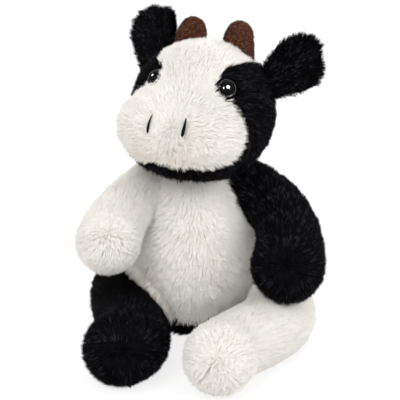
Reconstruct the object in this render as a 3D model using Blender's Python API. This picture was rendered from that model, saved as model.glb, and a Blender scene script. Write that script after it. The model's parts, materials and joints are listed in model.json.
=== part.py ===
"""A sitting plush cow, modelled as the sewn toy is made: cloth covers over stuffing.

Metres, +Z up. The origin lies on the floor under the middle of the seat. The toy faces -Y, so its own
left is +X.
"""

import math

import bmesh
import bpy
import numpy as np
from mathutils import Matrix, Vector

# Cloth, seams and clearances
COVER_WALL = 0.003
SEAM_GAP = 0.0003
JOINT_GAP = 0.0005
FLOOR_FLAT = 0.0005
OVERRUN = 0.02
SURFACE_STEP = 0.0005

# Torso
TORSO_HEIGHT = 0.126
TORSO_WIDTH = 0.106
TORSO_DEPTH = 0.099
TORSO_LEAN = 0.007
TORSO_HEIGHT_SHARES = (0.0, 0.05, 0.14, 0.26, 0.40, 0.54, 0.67, 0.79, 0.88, 0.95, 0.99)
TORSO_GIRTH_SHARES = (0.71, 0.84, 0.94, 1.0, 0.985, 0.90, 0.78, 0.65, 0.50, 0.33, 0.14)
NECK_ROUND_SHARES = (0.5, 0.8)
BELLY_BOTTOM = 0.007
BELLY_SIDE_RISE = 0.012
SIDE_SEAM_BACK = 0.006

# Head, in its own frame: +X its left, -Y its front, +Z its crown
HEAD_ASIDE = 0.006
HEAD_AHEAD = 0.002
HEAD_SINK = 0.0225
HEAD_TURN = math.radians(-23)
HEAD_ROLL = math.radians(4)
HEAD_NOD = math.radians(-14)
CRANIUM_WIDTH = 0.098
CRANIUM_DEPTH = 0.090
CRANIUM_HEIGHT = 0.096
MUZZLE_WIDTH = 0.090
MUZZLE_DEPTH = 0.052
MUZZLE_HEIGHT = 0.056
MUZZLE_AHEAD = 0.034
MUZZLE_DOWN = 0.014
HUB_AHEAD = 0.012
HUB_DOWN = 0.005
HEAD_BLEND = 10
NECK_BACK = 0.0065

# White face panel, as shares of half the cranium's height and half its width
PANEL_HEIGHT_SHARES = (1.5, 0.75, 0.58, 0.46, 0.35, 0.25, 0.08, -0.06, -0.33, -0.54, -0.69, -0.77)
PANEL_WIDTH_SHARES = (0.55, 0.58, 0.56, 0.40, 0.42, 0.60, 0.77, 0.84, 0.86, 0.75, 0.50, 0.20)
PANEL_BACK = 0.012

# Eyes, placed by shares of half the cranium's width and half its height
EYE_ASIDE_SHARES = {"left": 0.571, "right": 0.514}
EYE_UP_SHARE = 0.396
EYE_RADIUS = 0.006
EYE_HEIGHT = 0.004
EYE_RIM = 0.0007
EYE_SINK = 0.0008
STEM_RADIUS = 0.002
STEM_LENGTH = 0.010
STEM_TIP = 0.0006
WASHER_RADIUS = 0.007
WASHER_THICKNESS = 0.0015
WASHER_SINK = 0.0012

# Nostrils, placed by shares of half the muzzle's width and half its height
NOSTRIL_ASIDE_SHARE = 0.256
NOSTRIL_TOP_SHARE = 0.357
NOSTRIL_LENGTH = 0.0115
NOSTRIL_SLANT = 0.0015
NOSTRIL_THREAD = 0.0009
NOSTRIL_END_SHARE = 0.15
NOSTRIL_BLUNTNESS = 4

# Horns
HORN_ASIDE = 0.0165
HORN_BACK = 0.004
HORN_WIDTH = 0.019
HORN_THICKNESS = 0.008
HORN_LENGTH = 0.0295
HORN_ROOT_DOWN = 0.012
HORN_LEAN = math.radians(-8)

# Ears: where each is sewn, in shares of half the cranium's sizes, and the ways it stands and faces
EAR_SEAT_SHARES = {"left": (0.837, 0.133, 0.573), "right": (-0.786, 0.178, 0.531)}
EAR_STAND_SHARES = {"left": (0.74, 0.25, 0.59), "right": (-0.25, 0.32, 0.88)}
EAR_FRONT_SHARES = {"left": (0.25, -0.95, 0.0), "right": (-0.30, -0.95, 0.0)}
EAR_AXIS_LIFT = 0.001
EAR_ROOT_DOWN = 0.006
EAR_LENGTH = 0.0403
EAR_WIDTH = 0.036
EAR_CUP = 0.007
EAR_BACK_THICKNESS = 0.003
EAR_LINING_THICKNESS = 0.002
EAR_EDGE_SHARE = 0.3
EAR_ROOT_SHARE = 0.62
EAR_WIDEST_SHARE = 0.52
EAR_TIP_SHARE = 0.02
EAR_ROW_CROWDING = 1.35

# Arms: the shoulder, the elbow and the middle of the hand
ARM_RADII = (0.0175, 0.0195, 0.0225)
ARM_LEFT_ROUTE = ((0.030, 0.004, 0.100), (0.058, -0.022, 0.084), (0.061, -0.066, 0.065))
ARM_RIGHT_ROUTE = ((-0.028, 0.002, 0.098), (-0.047, -0.026, 0.088), (-0.055, -0.058, 0.077))
SHOULDER_ASIDE = 0.036
SHOULDER_BACK = 0.019

# Legs: the hip, the knee and the middle of the foot, whose heights follow the radii
LEG_LEFT_RADII = (0.022, 0.020, 0.0245)
LEG_RIGHT_RADII = (0.0225, 0.0245, 0.0275)
LEG_LEFT_ASIDE = (0.044, 0.061, 0.018)
LEG_LEFT_AHEAD = (0.004, 0.044, 0.112)
LEG_RIGHT_ASIDE = (0.045, 0.046, 0.043)
LEG_RIGHT_AHEAD = (0.004, 0.052, 0.098)
HIP_ASIDE = 0.051
HIP_BACK = 0.015

# How far the joints go from rest
HEAD_SWING = math.radians(15)
ARM_SWING = math.radians(40)
LEG_SWING = math.radians(25)
EAR_SWING = math.radians(20)

# Tail
TAIL_ROOT_HEIGHT = 0.040
TAIL_ROOT_RADIUS = 0.0045
TAIL_RADIUS = 0.0032
TAIL_LENGTH = 0.018
TUFT_LENGTH = 0.016
TUFT_RADIUS = 0.0062
TUFT_RING_SHARES = (0.3, 0.6, 0.85)
TUFT_SKEW = 0.8

# Facets
TORSO_SIDES = 24
HEAD_SIDES = 24
HEAD_RINGS = 13
LIMB_SIDES = 16
LIMB_RINGS = 7
CAP_ANGLES = tuple(math.radians(angle) for angle in (25, 50, 72))
EYE_ANGLES = tuple(math.radians(angle) for angle in (25, 50, 75))
TAIL_ANGLES = tuple(math.radians(angle) for angle in (60, 30, 0))
SHARP_ANGLE = math.radians(50)
FILL_SIDES = 12
FILL_RINGS = 6
HEAD_FILL_GRID = (18, 10)
LATHE_SIDES = 16
TAIL_SIDES = 10
EAR_ROWS = 9
EAR_COLUMNS = 6
NOSTRIL_STEPS = 7
NOSTRIL_SIDES = 8
BELLY_STEPS = 4
SWEEP_SHARES = (0.0, 0.5, 1.0)
HALVINGS = 40


def clear_scene():
    for obj in list(bpy.data.objects):
        bpy.data.objects.remove(obj)


def material(name, colour, roughness):
    """A plain Principled material."""
    made = bpy.data.materials.new(name)
    made.use_nodes = True
    shader = made.node_tree.nodes["Principled BSDF"]
    shader.inputs["Base Color"].default_value = (*colour, 1.0)
    shader.inputs["Roughness"].default_value = roughness
    shader.inputs["Metallic"].default_value = 0.0
    return made


def add_object(name, points, faces, origin, place=None):
    """A mesh object with its origin on a joint axis, or in the frame of the matrix place."""
    shift = np.zeros(3) if place else np.array(origin)
    mesh = bpy.data.meshes.new(name)
    mesh.from_pydata([tuple(point - shift) for point in points], [], faces)
    shape = bmesh.new()
    shape.from_mesh(mesh)
    bmesh.ops.triangulate(shape, faces=shape.faces)
    bmesh.ops.recalc_face_normals(shape, faces=shape.faces)
    shape.to_mesh(mesh)
    shape.free()
    mesh.shade_smooth()
    mesh.set_sharp_from_angle(angle=SHARP_ANGLE)
    obj = bpy.data.objects.new(name, mesh)
    obj.matrix_world = place if place else Matrix.Translation(Vector(origin))
    bpy.context.scene.collection.objects.link(obj)
    return obj


def add_cutter(name, points, faces, place=None):
    cutter = add_object(name, points, faces, np.zeros(3), place)
    cutter.hide_render = True
    cutter.display_type = "WIRE"
    return cutter


def shape_by(obj, other, operation="DIFFERENCE"):
    boolean = obj.modifiers.new(other.name, "BOOLEAN")
    boolean.operation = operation
    boolean.solver = "EXACT"
    boolean.object = other


def finish(obj, look, joint=None):
    """The piece's material, and the joint that carries it."""
    obj.data.materials.append(look)
    if joint:
        obj.parent = joint
        obj.matrix_parent_inverse = joint.matrix_world.inverted()


def add_joint(name, point, parent=None):
    """An empty on a joint's axis."""
    joint = bpy.data.objects.new(name, None)
    joint.empty_display_size = COVER_WALL
    joint.matrix_world = Matrix.Translation(Vector(point))
    bpy.context.scene.collection.objects.link(joint)
    if parent:
        joint.parent = parent
        joint.matrix_parent_inverse = parent.matrix_world.inverted()
    return joint


def skin(rings, start=None, end=None):
    """A closed surface over rings of equal counts. An end is a tip point, or None for a flat cap."""
    sides = len(rings[0])
    points = [point for ring in rings for point in ring]
    faces = []
    for low in range(0, len(points) - sides, sides):
        for i in range(sides):
            j = (i + 1) % sides
            faces.append((low + i, low + j, low + sides + j, low + sides + i))
    for tip, first in ((start, 0), (end, len(points) - sides)):
        rim = [first + i for i in range(sides)]
        if tip is None:
            faces.append(tuple(rim))
            continue
        points.append(tip)
        faces.extend((rim[i], rim[(i + 1) % sides], len(points) - 1) for i in range(sides))
    return points, faces


def ellipse(centre, across, along, sides):
    turns = [math.tau * i / sides for i in range(sides)]
    return [centre + across * math.cos(turn) + along * math.sin(turn) for turn in turns]


def smoothstep(low, high, value):
    share = min(max((value - low) / (high - low), 0.0), 1.0)
    return share * share * (3 - 2 * share)


def torso_ring(height_share, girth_share, height, grow, sides=TORSO_SIDES):
    """One level of the torso, which is round in plan at the neck."""
    neck = smoothstep(*NECK_ROUND_SHARES, height_share)
    depth = TORSO_DEPTH + neck * (TORSO_WIDTH - TORSO_DEPTH)
    centre = np.array((0, TORSO_LEAN * height_share, height))
    across = np.array((girth_share * TORSO_WIDTH / 2 + grow, 0, 0))
    along = np.array((0, girth_share * depth / 2 + grow, 0))
    return ellipse(centre, across, along, sides)


def torso_form(grow, sides=TORSO_SIDES):
    """A pear with a flat seat."""
    tall = TORSO_HEIGHT + 2 * grow
    rings = [
        torso_ring(height_share, girth_share, height_share * tall - grow, grow, sides)
        for height_share, girth_share in zip(TORSO_HEIGHT_SHARES, TORSO_GIRTH_SHARES)
    ]
    return skin(rings, end=np.array((0, TORSO_LEAN, TORSO_HEIGHT + grow)))


def hip_form(grow):
    """The torso without its rounded foot, so that what is cut by it ends in an upright wall."""
    widest = TORSO_GIRTH_SHARES.index(max(TORSO_GIRTH_SHARES))
    levels = list(zip(TORSO_HEIGHT_SHARES, TORSO_GIRTH_SHARES))[widest:]
    rings = [torso_ring(*levels[0], -OVERRUN, grow)]
    for height_share, girth_share in levels:
        rings.append(torso_ring(height_share, girth_share, height_share * TORSO_HEIGHT, grow))
    return skin(rings, end=np.array((0, TORSO_LEAN, TORSO_HEIGHT + grow)))


def belly_prism(gap):
    """The space of the belly panel: ahead of the side seams and above the seat."""
    half = TORSO_WIDTH
    steps = [step / BELLY_STEPS for step in range(-BELLY_STEPS, BELLY_STEPS + 1)]
    low = [(half * step, BELLY_BOTTOM - gap + BELLY_SIDE_RISE * (2 * step) ** 2) for step in steps]
    outline = low + [(half, TORSO_HEIGHT + OVERRUN), (-half, TORSO_HEIGHT + OVERRUN)]
    rings = [
        [np.array((x, y, z)) for x, z in outline]
        for y in (-TORSO_DEPTH, SIDE_SEAM_BACK + gap)
    ]
    return skin(rings)


HEAD_HUB = np.array((0, -HUB_AHEAD, -HUB_DOWN))
CRANIUM_HALVES = np.array((CRANIUM_WIDTH, CRANIUM_DEPTH, CRANIUM_HEIGHT)) / 2
MUZZLE_CENTRE = np.array((0, -MUZZLE_AHEAD, -MUZZLE_DOWN))
MUZZLE_HALVES = np.array((MUZZLE_WIDTH, MUZZLE_DEPTH, MUZZLE_HEIGHT)) / 2
HEAD_PLACE = Vector((HEAD_ASIDE, -HEAD_AHEAD, TORSO_HEIGHT + CRANIUM_HEIGHT / 2 - HEAD_SINK))
HEAD_LEAN = Matrix.Rotation(HEAD_ROLL, 4, "Y") @ Matrix.Rotation(HEAD_NOD, 4, "X")
HEAD_FRAME = Matrix.Translation(HEAD_PLACE) @ Matrix.Rotation(HEAD_TURN, 4, "Z") @ HEAD_LEAN


def reach(direction, centre, halves):
    """How far a ray from the hub of the head runs inside an ellipsoid that holds the hub."""
    ray = direction / halves
    start = (HEAD_HUB - centre) / halves
    along = ray @ start
    return (math.sqrt(along * along - (ray @ ray) * (start @ start - 1)) - along) / (ray @ ray)


def head_reach(direction):
    """The cranium and the muzzle run into each other in a soft crease."""
    cranium = reach(direction, np.zeros(3), CRANIUM_HALVES)
    muzzle = reach(direction, MUZZLE_CENTRE, MUZZLE_HALVES)
    longest = max(cranium, muzzle)
    mixed = (cranium / longest) ** HEAD_BLEND + (muzzle / longest) ** HEAD_BLEND
    return longest * mixed ** (1 / HEAD_BLEND)


def head_point(direction, grow=0.0):
    unit = direction / np.linalg.norm(direction)
    return HEAD_HUB + unit * (head_reach(unit) + grow)


def head_form(grow, sides=HEAD_SIDES, count=HEAD_RINGS):
    """Rings round the head's front-to-back line, from the nose to the back."""
    rings = []
    for step in range(1, count + 1):
        tilt = math.pi * step / (count + 1)
        rings.append(
            [
                head_point(
                    np.array(
                        (
                            math.sin(tilt) * math.cos(math.tau * i / sides),
                            -math.cos(tilt),
                            math.sin(tilt) * math.sin(math.tau * i / sides),
                        )
                    ),
                    grow,
                )
                for i in range(sides)
            ]
        )
    front = head_point(np.array((0, -1.0, 0)), grow)
    back = head_point(np.array((0, 1.0, 0)), grow)
    return skin(rings, front, back)


def face_point(aside, up, grow=0.0):
    """The point on the front of the head at a place in its front view."""
    near = HEAD_HUB[1]
    far = near - CRANIUM_DEPTH
    for _ in range(HALVINGS):
        middle = (near + far) / 2
        arm = np.array((aside, middle, up)) - HEAD_HUB
        length = np.linalg.norm(arm)
        if length > head_reach(arm / length) + grow:
            far = middle
        else:
            near = middle
    return np.array((aside, near, up))


def face_normal(aside, up):
    across = face_point(aside + SURFACE_STEP, up) - face_point(aside - SURFACE_STEP, up)
    upward = face_point(aside, up + SURFACE_STEP) - face_point(aside, up - SURFACE_STEP)
    normal = np.cross(across, upward)
    return normal / np.linalg.norm(normal)


def face_prism(gap):
    """The space of the white face panel: a blaze that widens over the muzzle."""
    left = []
    for height_share, width_share in zip(PANEL_HEIGHT_SHARES, PANEL_WIDTH_SHARES):
        left.append((width_share * CRANIUM_WIDTH / 2 + gap, height_share * CRANIUM_HEIGHT / 2))
    left[-1] = (left[-1][0], left[-1][1] - gap)
    outline = left + [(-x, z) for x, z in reversed(left)]
    rings = [
        [np.array((x, y, z)) for x, z in outline]
        for y in (-CRANIUM_DEPTH - OVERRUN, PANEL_BACK + gap)
    ]
    return skin(rings)


def through(points, share):
    """The parabola that passes its three points at 0, a half and 1."""
    first, second, third = points
    return (
        first * ((1 - share) * (1 - 2 * share))
        + second * (4 * share * (1 - share))
        + third * (share * (2 * share - 1))
    )


def limb_form(route, radii, grow, sides=LIMB_SIDES, count=LIMB_RINGS):
    """A round stuffed limb along a bent route, with domed ends."""
    route = [np.array(point) for point in route]
    stations = []
    for step in range(count):
        share = step / (count - 1)
        stations.append((through(route, share), through(radii, share) + grow))
    first_way = route[0] - through(route, 1 / (2 * count))
    last_way = route[2] - through(route, 1 - 1 / (2 * count))
    first_way /= np.linalg.norm(first_way)
    last_way /= np.linalg.norm(last_way)
    root, root_radius = stations[0]
    tip, tip_radius = stations[-1]
    rows = [
        (root + first_way * root_radius * math.sin(angle), root_radius * math.cos(angle))
        for angle in reversed(CAP_ANGLES)
    ]
    rows += stations
    rows += [
        (tip + last_way * tip_radius * math.sin(angle), tip_radius * math.cos(angle))
        for angle in CAP_ANGLES
    ]
    rings = []
    for index, (centre, radius) in enumerate(rows):
        way = rows[min(index + 1, len(rows) - 1)][0] - rows[max(index - 1, 0)][0]
        way /= np.linalg.norm(way)
        across = np.cross(way, np.array((0, 0, 1.0)))
        across /= np.linalg.norm(across)
        rings.append(ellipse(centre, across * radius, np.cross(across, way) * radius, sides))
    return skin(rings, root + first_way * root_radius, tip + last_way * tip_radius)


def on_floor(sign, aside, ahead, radii):
    """The route of a limb that lies on the floor, pressed flat a little."""
    return [(sign * x, -y, radius - FLOOR_FLAT) for x, y, radius in zip(aside, ahead, radii)]


def lathe(profile, sides=LATHE_SIDES):
    """A solid turned round Z from its top to its foot. The profile runs from tip to tip."""
    rings = [
        ellipse(np.array((0, 0, height)), np.array((radius, 0, 0)), np.array((0, radius, 0)), sides)
        for radius, height in profile[1:-1]
    ]
    return skin(rings, np.array((0, 0, profile[0][1])), np.array((0, 0, profile[-1][1])))


def ring_solid(outer, inner, low, high, sides=LATHE_SIDES):
    """A flat washer round Z."""
    corners = ((outer, low), (outer, high), (inner, high), (inner, low))
    rings = [
        ellipse(np.array((0, 0, height)), np.array((radius, 0, 0)), np.array((0, radius, 0)), sides)
        for radius, height in corners
    ]
    points = [point for ring in rings for point in ring]
    faces = []
    for corner in range(4):
        low_ring = corner * sides
        high_ring = (corner + 1) % 4 * sides
        for i in range(sides):
            j = (i + 1) % sides
            faces.append((low_ring + i, low_ring + j, high_ring + j, high_ring + i))
    return points, faces


def floor_block():
    """All that lies below the floor."""
    reach_out = TORSO_WIDTH + TORSO_DEPTH
    corners = ((-1, -1), (1, -1), (1, 1), (-1, 1))
    rings = [
        [np.array((x * reach_out, y * reach_out, height)) for x, y in corners]
        for height in (-OVERRUN, 0.0)
    ]
    return skin(rings)


def turn_about(point, axis, angle):
    """A turn round an axis through a point."""
    away = Matrix.Translation(Vector(point))
    return away @ Matrix.Rotation(angle, 4, Vector(axis)) @ away.inverted()


def frame_at(point, upward, ahead):
    """A frame in the head: Z along upward, -Y as near to ahead as it can be."""
    z_axis = Vector(upward).normalized()
    x_axis = Vector(ahead).cross(z_axis).normalized() * -1
    y_axis = z_axis.cross(x_axis)
    frame = Matrix((x_axis, y_axis, z_axis)).transposed().to_4x4()
    frame.translation = Vector(point)
    return HEAD_FRAME @ frame


clear_scene()

BLACK_PILE = material("black_pile", (0.012, 0.012, 0.014), 0.9)
WHITE_PILE = material("white_pile", (0.80, 0.76, 0.70), 0.95)
BROWN_FELT = material("brown_felt", (0.12, 0.045, 0.03), 0.9)
BLACK_PLASTIC = material("black_plastic", (0.004, 0.004, 0.004), 0.08)
BLACK_THREAD = material("black_thread", (0.015, 0.014, 0.014), 0.5)
FIBRE_FILL = material("fibre_fill", (0.85, 0.85, 0.83), 1.0)
WASHER_PLASTIC = material("washer_plastic", (0.75, 0.75, 0.72), 0.5)

# Joint axes
UPWARD = (0.0, 0.0, 1.0)
NECK_POINT = (0.0, NECK_BACK, TORSO_HEIGHT)
NECK = add_joint("neck_joint", NECK_POINT)
SIDES = {"left": 1, "right": -1}
SHOULDERS = {}
HIPS = {}
for side_name, sign in SIDES.items():
    SHOULDERS[side_name] = add_joint(
        f"shoulder_{side_name}_joint", (sign * SHOULDER_ASIDE, SHOULDER_BACK, ARM_LEFT_ROUTE[0][2])
    )
    HIPS[side_name] = add_joint(
        f"hip_{side_name}_joint", (sign * HIP_ASIDE, HIP_BACK, LEG_LEFT_RADII[0])
    )

FLOOR = add_cutter("floor_cutter", *floor_block())
TORSO_ROOM = add_cutter("torso_room", *torso_form(JOINT_GAP))
HIP_ROOM = add_cutter("hip_room", *hip_form(JOINT_GAP))


# Torso
def make_torso():
    hollow = add_cutter("torso_hollow", *torso_form(-COVER_WALL))
    belly = add_object("belly_panel", *torso_form(0.0), np.zeros(3))
    shape_by(belly, hollow)
    shape_by(belly, add_cutter("belly_space", *belly_prism(0.0)), "INTERSECT")
    finish(belly, WHITE_PILE)
    back = add_object("back_panel", *torso_form(0.0), np.zeros(3))
    shape_by(back, hollow)
    shape_by(back, add_cutter("belly_room", *belly_prism(SEAM_GAP)))
    finish(back, BLACK_PILE)
    fill = add_object("torso_stuffing", *torso_form(-COVER_WALL - SEAM_GAP, FILL_SIDES), np.zeros(3))
    finish(fill, FIBRE_FILL)


# Head
def make_head():
    hollow = add_cutter("head_hollow", *head_form(-COVER_WALL, *HEAD_FILL_GRID), HEAD_FRAME)
    cover = add_object("head_cover", *head_form(0.0), NECK_POINT, HEAD_FRAME)
    face = add_object("face_panel", *head_form(0.0), NECK_POINT, HEAD_FRAME)
    inside = head_form(-COVER_WALL - SEAM_GAP, *HEAD_FILL_GRID)
    fill = add_object("head_stuffing", *inside, NECK_POINT, HEAD_FRAME)
    shape_by(cover, hollow)
    shape_by(face, hollow)
    shape_by(face, add_cutter("face_space", *face_prism(0.0), HEAD_FRAME), "INTERSECT")
    shape_by(cover, add_cutter("face_room", *face_prism(SEAM_GAP), HEAD_FRAME))
    for piece in (cover, face, fill):
        shape_by(piece, TORSO_ROOM)
    for side_name, sign in SIDES.items():
        make_eye(side_name, sign, cover, face, fill)
        make_nostril(side_name, sign)
        make_horn(side_name, sign)
    finish(cover, BLACK_PILE, NECK)
    finish(face, WHITE_PILE, NECK)
    finish(fill, FIBRE_FILL, NECK)


def make_eye(side_name, sign, cover, face, fill):
    """A domed eye on a stem, and the washer that locks it inside the cover."""
    aside = sign * EYE_ASIDE_SHARES[side_name] * CRANIUM_WIDTH / 2
    up = EYE_UP_SHARE * CRANIUM_HEIGHT / 2
    normal = face_normal(aside, up)
    place = frame_at(face_point(aside, up) - normal * EYE_SINK, normal, (0, 0, -1))
    dome = [(0.0, EYE_HEIGHT)]
    for angle in EYE_ANGLES:
        rise = (EYE_HEIGHT - EYE_RIM) * math.cos(angle)
        dome.append((EYE_RADIUS * math.sin(angle), EYE_RIM + rise))
    dome += [(EYE_RADIUS, EYE_RIM), (EYE_RADIUS - EYE_RIM, 0.0), (STEM_RADIUS, 0.0)]
    dome += [(STEM_RADIUS, -STEM_LENGTH + STEM_TIP), (STEM_RADIUS - STEM_TIP, -STEM_LENGTH)]
    dome.append((0.0, -STEM_LENGTH))
    eye = add_object(f"eye_{side_name}", *lathe(dome), NECK_POINT, place)
    finish(eye, BLACK_PLASTIC, NECK)
    top = -COVER_WALL - SEAM_GAP - WASHER_SINK
    washer = add_object(
        f"eye_washer_{side_name}",
        *ring_solid(WASHER_RADIUS, STEM_RADIUS + SEAM_GAP, top - WASHER_THICKNESS, top),
        NECK_POINT,
        place,
    )
    finish(washer, WASHER_PLASTIC, NECK)
    hole_radius = STEM_RADIUS + SEAM_GAP
    seat_radius = EYE_RADIUS + SEAM_GAP
    hole = [(0.0, OVERRUN), (seat_radius, OVERRUN), (seat_radius, -SEAM_GAP), (hole_radius, -SEAM_GAP)]
    hole += [(hole_radius, -STEM_LENGTH - SEAM_GAP), (0.0, -STEM_LENGTH - SEAM_GAP)]
    pocket_radius = WASHER_RADIUS + SEAM_GAP
    pocket_low = top - WASHER_THICKNESS - SEAM_GAP
    pocket = [(0.0, OVERRUN), (pocket_radius, OVERRUN), (pocket_radius, pocket_low), (0.0, pocket_low)]
    stem_room = add_cutter(f"stem_room_{side_name}", *lathe(hole), place)
    for piece in (cover, face, fill):
        shape_by(piece, stem_room)
    shape_by(fill, add_cutter(f"washer_room_{side_name}", *lathe(pocket), place))


def make_nostril(side_name, sign):
    """A satin-stitched slit that follows the muzzle."""
    centres = []
    for step in range(NOSTRIL_STEPS):
        share = step / (NOSTRIL_STEPS - 1)
        aside = sign * (NOSTRIL_ASIDE_SHARE * MUZZLE_WIDTH / 2 - NOSTRIL_SLANT * share)
        up = NOSTRIL_TOP_SHARE * MUZZLE_HEIGHT / 2 - MUZZLE_DOWN - NOSTRIL_LENGTH * share
        centres.append(face_point(aside, up) + face_normal(aside, up) * (SEAM_GAP + NOSTRIL_THREAD))
    rings = []
    for index, centre in enumerate(centres):
        way = centres[min(index + 1, NOSTRIL_STEPS - 1)] - centres[max(index - 1, 0)]
        way /= np.linalg.norm(way)
        share = index / (NOSTRIL_STEPS - 1)
        radius = NOSTRIL_THREAD * math.sqrt(max(1 - (2 * share - 1) ** NOSTRIL_BLUNTNESS, NOSTRIL_END_SHARE))
        across = np.cross(way, np.array((0, 1.0, 0)))
        across /= np.linalg.norm(across)
        rings.append(ellipse(centre, across * radius, np.cross(across, way) * radius, NOSTRIL_SIDES))
    slit = add_object(f"nostril_{side_name}", *skin(rings), NECK_POINT, HEAD_FRAME)
    finish(slit, BLACK_THREAD, NECK)


def make_horn(side_name, sign):
    """A flat felt horn with a round tip, seated on the crown."""
    root = head_point(np.array((sign * HORN_ASIDE, HORN_BACK, CRANIUM_HEIGHT / 2)) - HEAD_HUB)
    upward = (math.sin(HORN_LEAN), 0.0, math.cos(HORN_LEAN))
    place = frame_at(root - np.array(upward) * HORN_ROOT_DOWN, upward, (0, -1, 0))
    half_width = HORN_WIDTH / 2
    straight = HORN_LENGTH - half_width
    rows = [(0.0, 1.0), (straight / 2, 1.0), (straight, 1.0)]
    for angle in CAP_ANGLES:
        rows.append((straight + half_width * math.sin(angle), math.cos(angle)))
    rings = [
        ellipse(
            np.array((0, 0, height)),
            np.array((half_width * share, 0, 0)),
            np.array((0, HORN_THICKNESS / 2 * math.sqrt(share), 0)),
            LATHE_SIDES,
        )
        for height, share in rows
    ]
    horn = add_object(f"horn_{side_name}", *skin(rings, end=np.array((0, 0, HORN_LENGTH))), NECK_POINT, place)
    shape_by(horn, HEAD_ROOM)
    finish(horn, BROWN_FELT, NECK)


HEAD_ROOM = add_cutter("head_room", *head_form(SEAM_GAP), HEAD_FRAME)
make_torso()
make_head()


# Ears
def ear_layer(low, high, low_thickness, high_thickness):
    """A cupped leaf between two offsets of its middle surface, thinner at its edge."""
    sheets = []
    for offset, thickness in ((low, low_thickness), (high, high_thickness)):
        sheet = []
        for row in range(EAR_ROWS):
            along = 1 - (1 - row / (EAR_ROWS - 1)) ** EAR_ROW_CROWDING
            height = along * EAR_LENGTH if row else -EAR_ROOT_DOWN
            if along < EAR_WIDEST_SHARE:
                bulge = math.sin(math.pi / 2 * along / EAR_WIDEST_SHARE)
                spread = EAR_ROOT_SHARE + (1 - EAR_ROOT_SHARE) * bulge
            else:
                beyond = (along - EAR_WIDEST_SHARE) / (1 - EAR_WIDEST_SHARE)
                spread = math.sqrt(max(1 - beyond**2, EAR_TIP_SHARE))
            for column in range(EAR_COLUMNS + 1):
                across = 2 * column / EAR_COLUMNS - 1
                edge = math.sqrt(max(1 - across**2, 0.0)) * math.sqrt(max(1 - along**4, 0.0))
                body = EAR_EDGE_SHARE + (1 - EAR_EDGE_SHARE) * edge
                curl = EAR_CUP * (across * spread) ** 2 * math.sin(math.pi / 2 * min(2 * along, 1.0))
                aside = across * spread * EAR_WIDTH / 2
                sheet.append(np.array((aside, -curl - offset - thickness * body, height)))
        sheets.append(sheet)
    points = sheets[0] + sheets[1]
    columns = EAR_COLUMNS + 1
    lift = len(sheets[0])
    faces = []
    for row in range(EAR_ROWS - 1):
        for column in range(EAR_COLUMNS):
            corner = row * columns + column
            quad = (corner, corner + 1, corner + columns + 1, corner + columns)
            faces.append(quad)
            faces.append(tuple(lift + index for index in reversed(quad)))
    rim = list(range(columns))
    rim += [row * columns + EAR_COLUMNS for row in range(1, EAR_ROWS)]
    rim += [(EAR_ROWS - 1) * columns + column for column in reversed(range(EAR_COLUMNS))]
    rim += [row * columns for row in reversed(range(1, EAR_ROWS - 1))]
    for index, corner in enumerate(rim):
        after = rim[(index + 1) % len(rim)]
        faces.append((corner, after, after + lift, corner + lift))
    return points, faces


def make_ear(side_name):
    seat = head_point(np.array(EAR_SEAT_SHARES[side_name]) * CRANIUM_HALVES - HEAD_HUB)
    outward = (seat - HEAD_HUB) / np.linalg.norm(seat - HEAD_HUB)
    root = seat + outward * EAR_AXIS_LIFT
    place = frame_at(root, EAR_STAND_SHARES[side_name], EAR_FRONT_SHARES[side_name])
    joint = add_joint(f"ear_{side_name}_joint", place.translation, NECK)
    half_gap = SEAM_GAP / 2
    layers = {
        "back": ear_layer(-half_gap, -half_gap, -EAR_BACK_THICKNESS, 0.0),
        "lining": ear_layer(half_gap, half_gap, 0.0, EAR_LINING_THICKNESS),
    }
    rooms = []
    for flop_share in (-1, 0, 1):
        flopped = turn_about(place.translation, place.to_3x3().col[0], EAR_SWING * flop_share)
        name = f"head_room_ear_{side_name}_{flop_share}"
        rooms.append(add_cutter(name, *head_form(JOINT_GAP), flopped @ HEAD_FRAME))
    for layer_name, layer in layers.items():
        piece = add_object(f"ear_{side_name}_{layer_name}", *layer, NECK_POINT, place)
        for room in rooms:
            shape_by(piece, room)
        finish(piece, BLACK_PILE, joint)


for side_name in SIDES:
    make_ear(side_name)


# Limbs
def make_limb(name, route, radii, looks, joint, rooms):
    """A cover and its stuffing, both open to the body at the root."""
    origin = tuple(joint.matrix_world.translation)
    cover = add_object(f"{name}_cover", *limb_form(route, radii, 0.0), origin)
    hollow = limb_form(route, radii, -COVER_WALL, FILL_SIDES, FILL_RINGS)
    shape_by(cover, add_cutter(f"{name}_hollow", *hollow))
    inside = limb_form(route, radii, -COVER_WALL - SEAM_GAP, FILL_SIDES, FILL_RINGS)
    fill = add_object(f"{name}_stuffing", *inside, origin)
    for piece in (cover, fill):
        for room in rooms:
            shape_by(piece, room)
    finish(cover, looks, joint)
    finish(fill, FIBRE_FILL, joint)


def arm_rooms(side_name):
    """The torso and the turned head, as the arm meets them from rest to its furthest swing."""
    shoulder = SHOULDERS[side_name].matrix_world.translation
    rooms = []
    for part_share in SWEEP_SHARES:
        back = turn_about(shoulder, UPWARD, -SIDES[side_name] * ARM_SWING * part_share)
        form = torso_form(JOINT_GAP)
        rooms.append(add_cutter(f"torso_room_{side_name}_{part_share}", *form, back))
        for turn_share in (-1, 0, 1):
            turned = back @ turn_about(NECK_POINT, UPWARD, HEAD_SWING * turn_share) @ HEAD_FRAME
            name = f"head_room_{side_name}_{part_share}_{turn_share}"
            rooms.append(add_cutter(name, *head_form(JOINT_GAP), turned))
    return rooms


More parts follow.
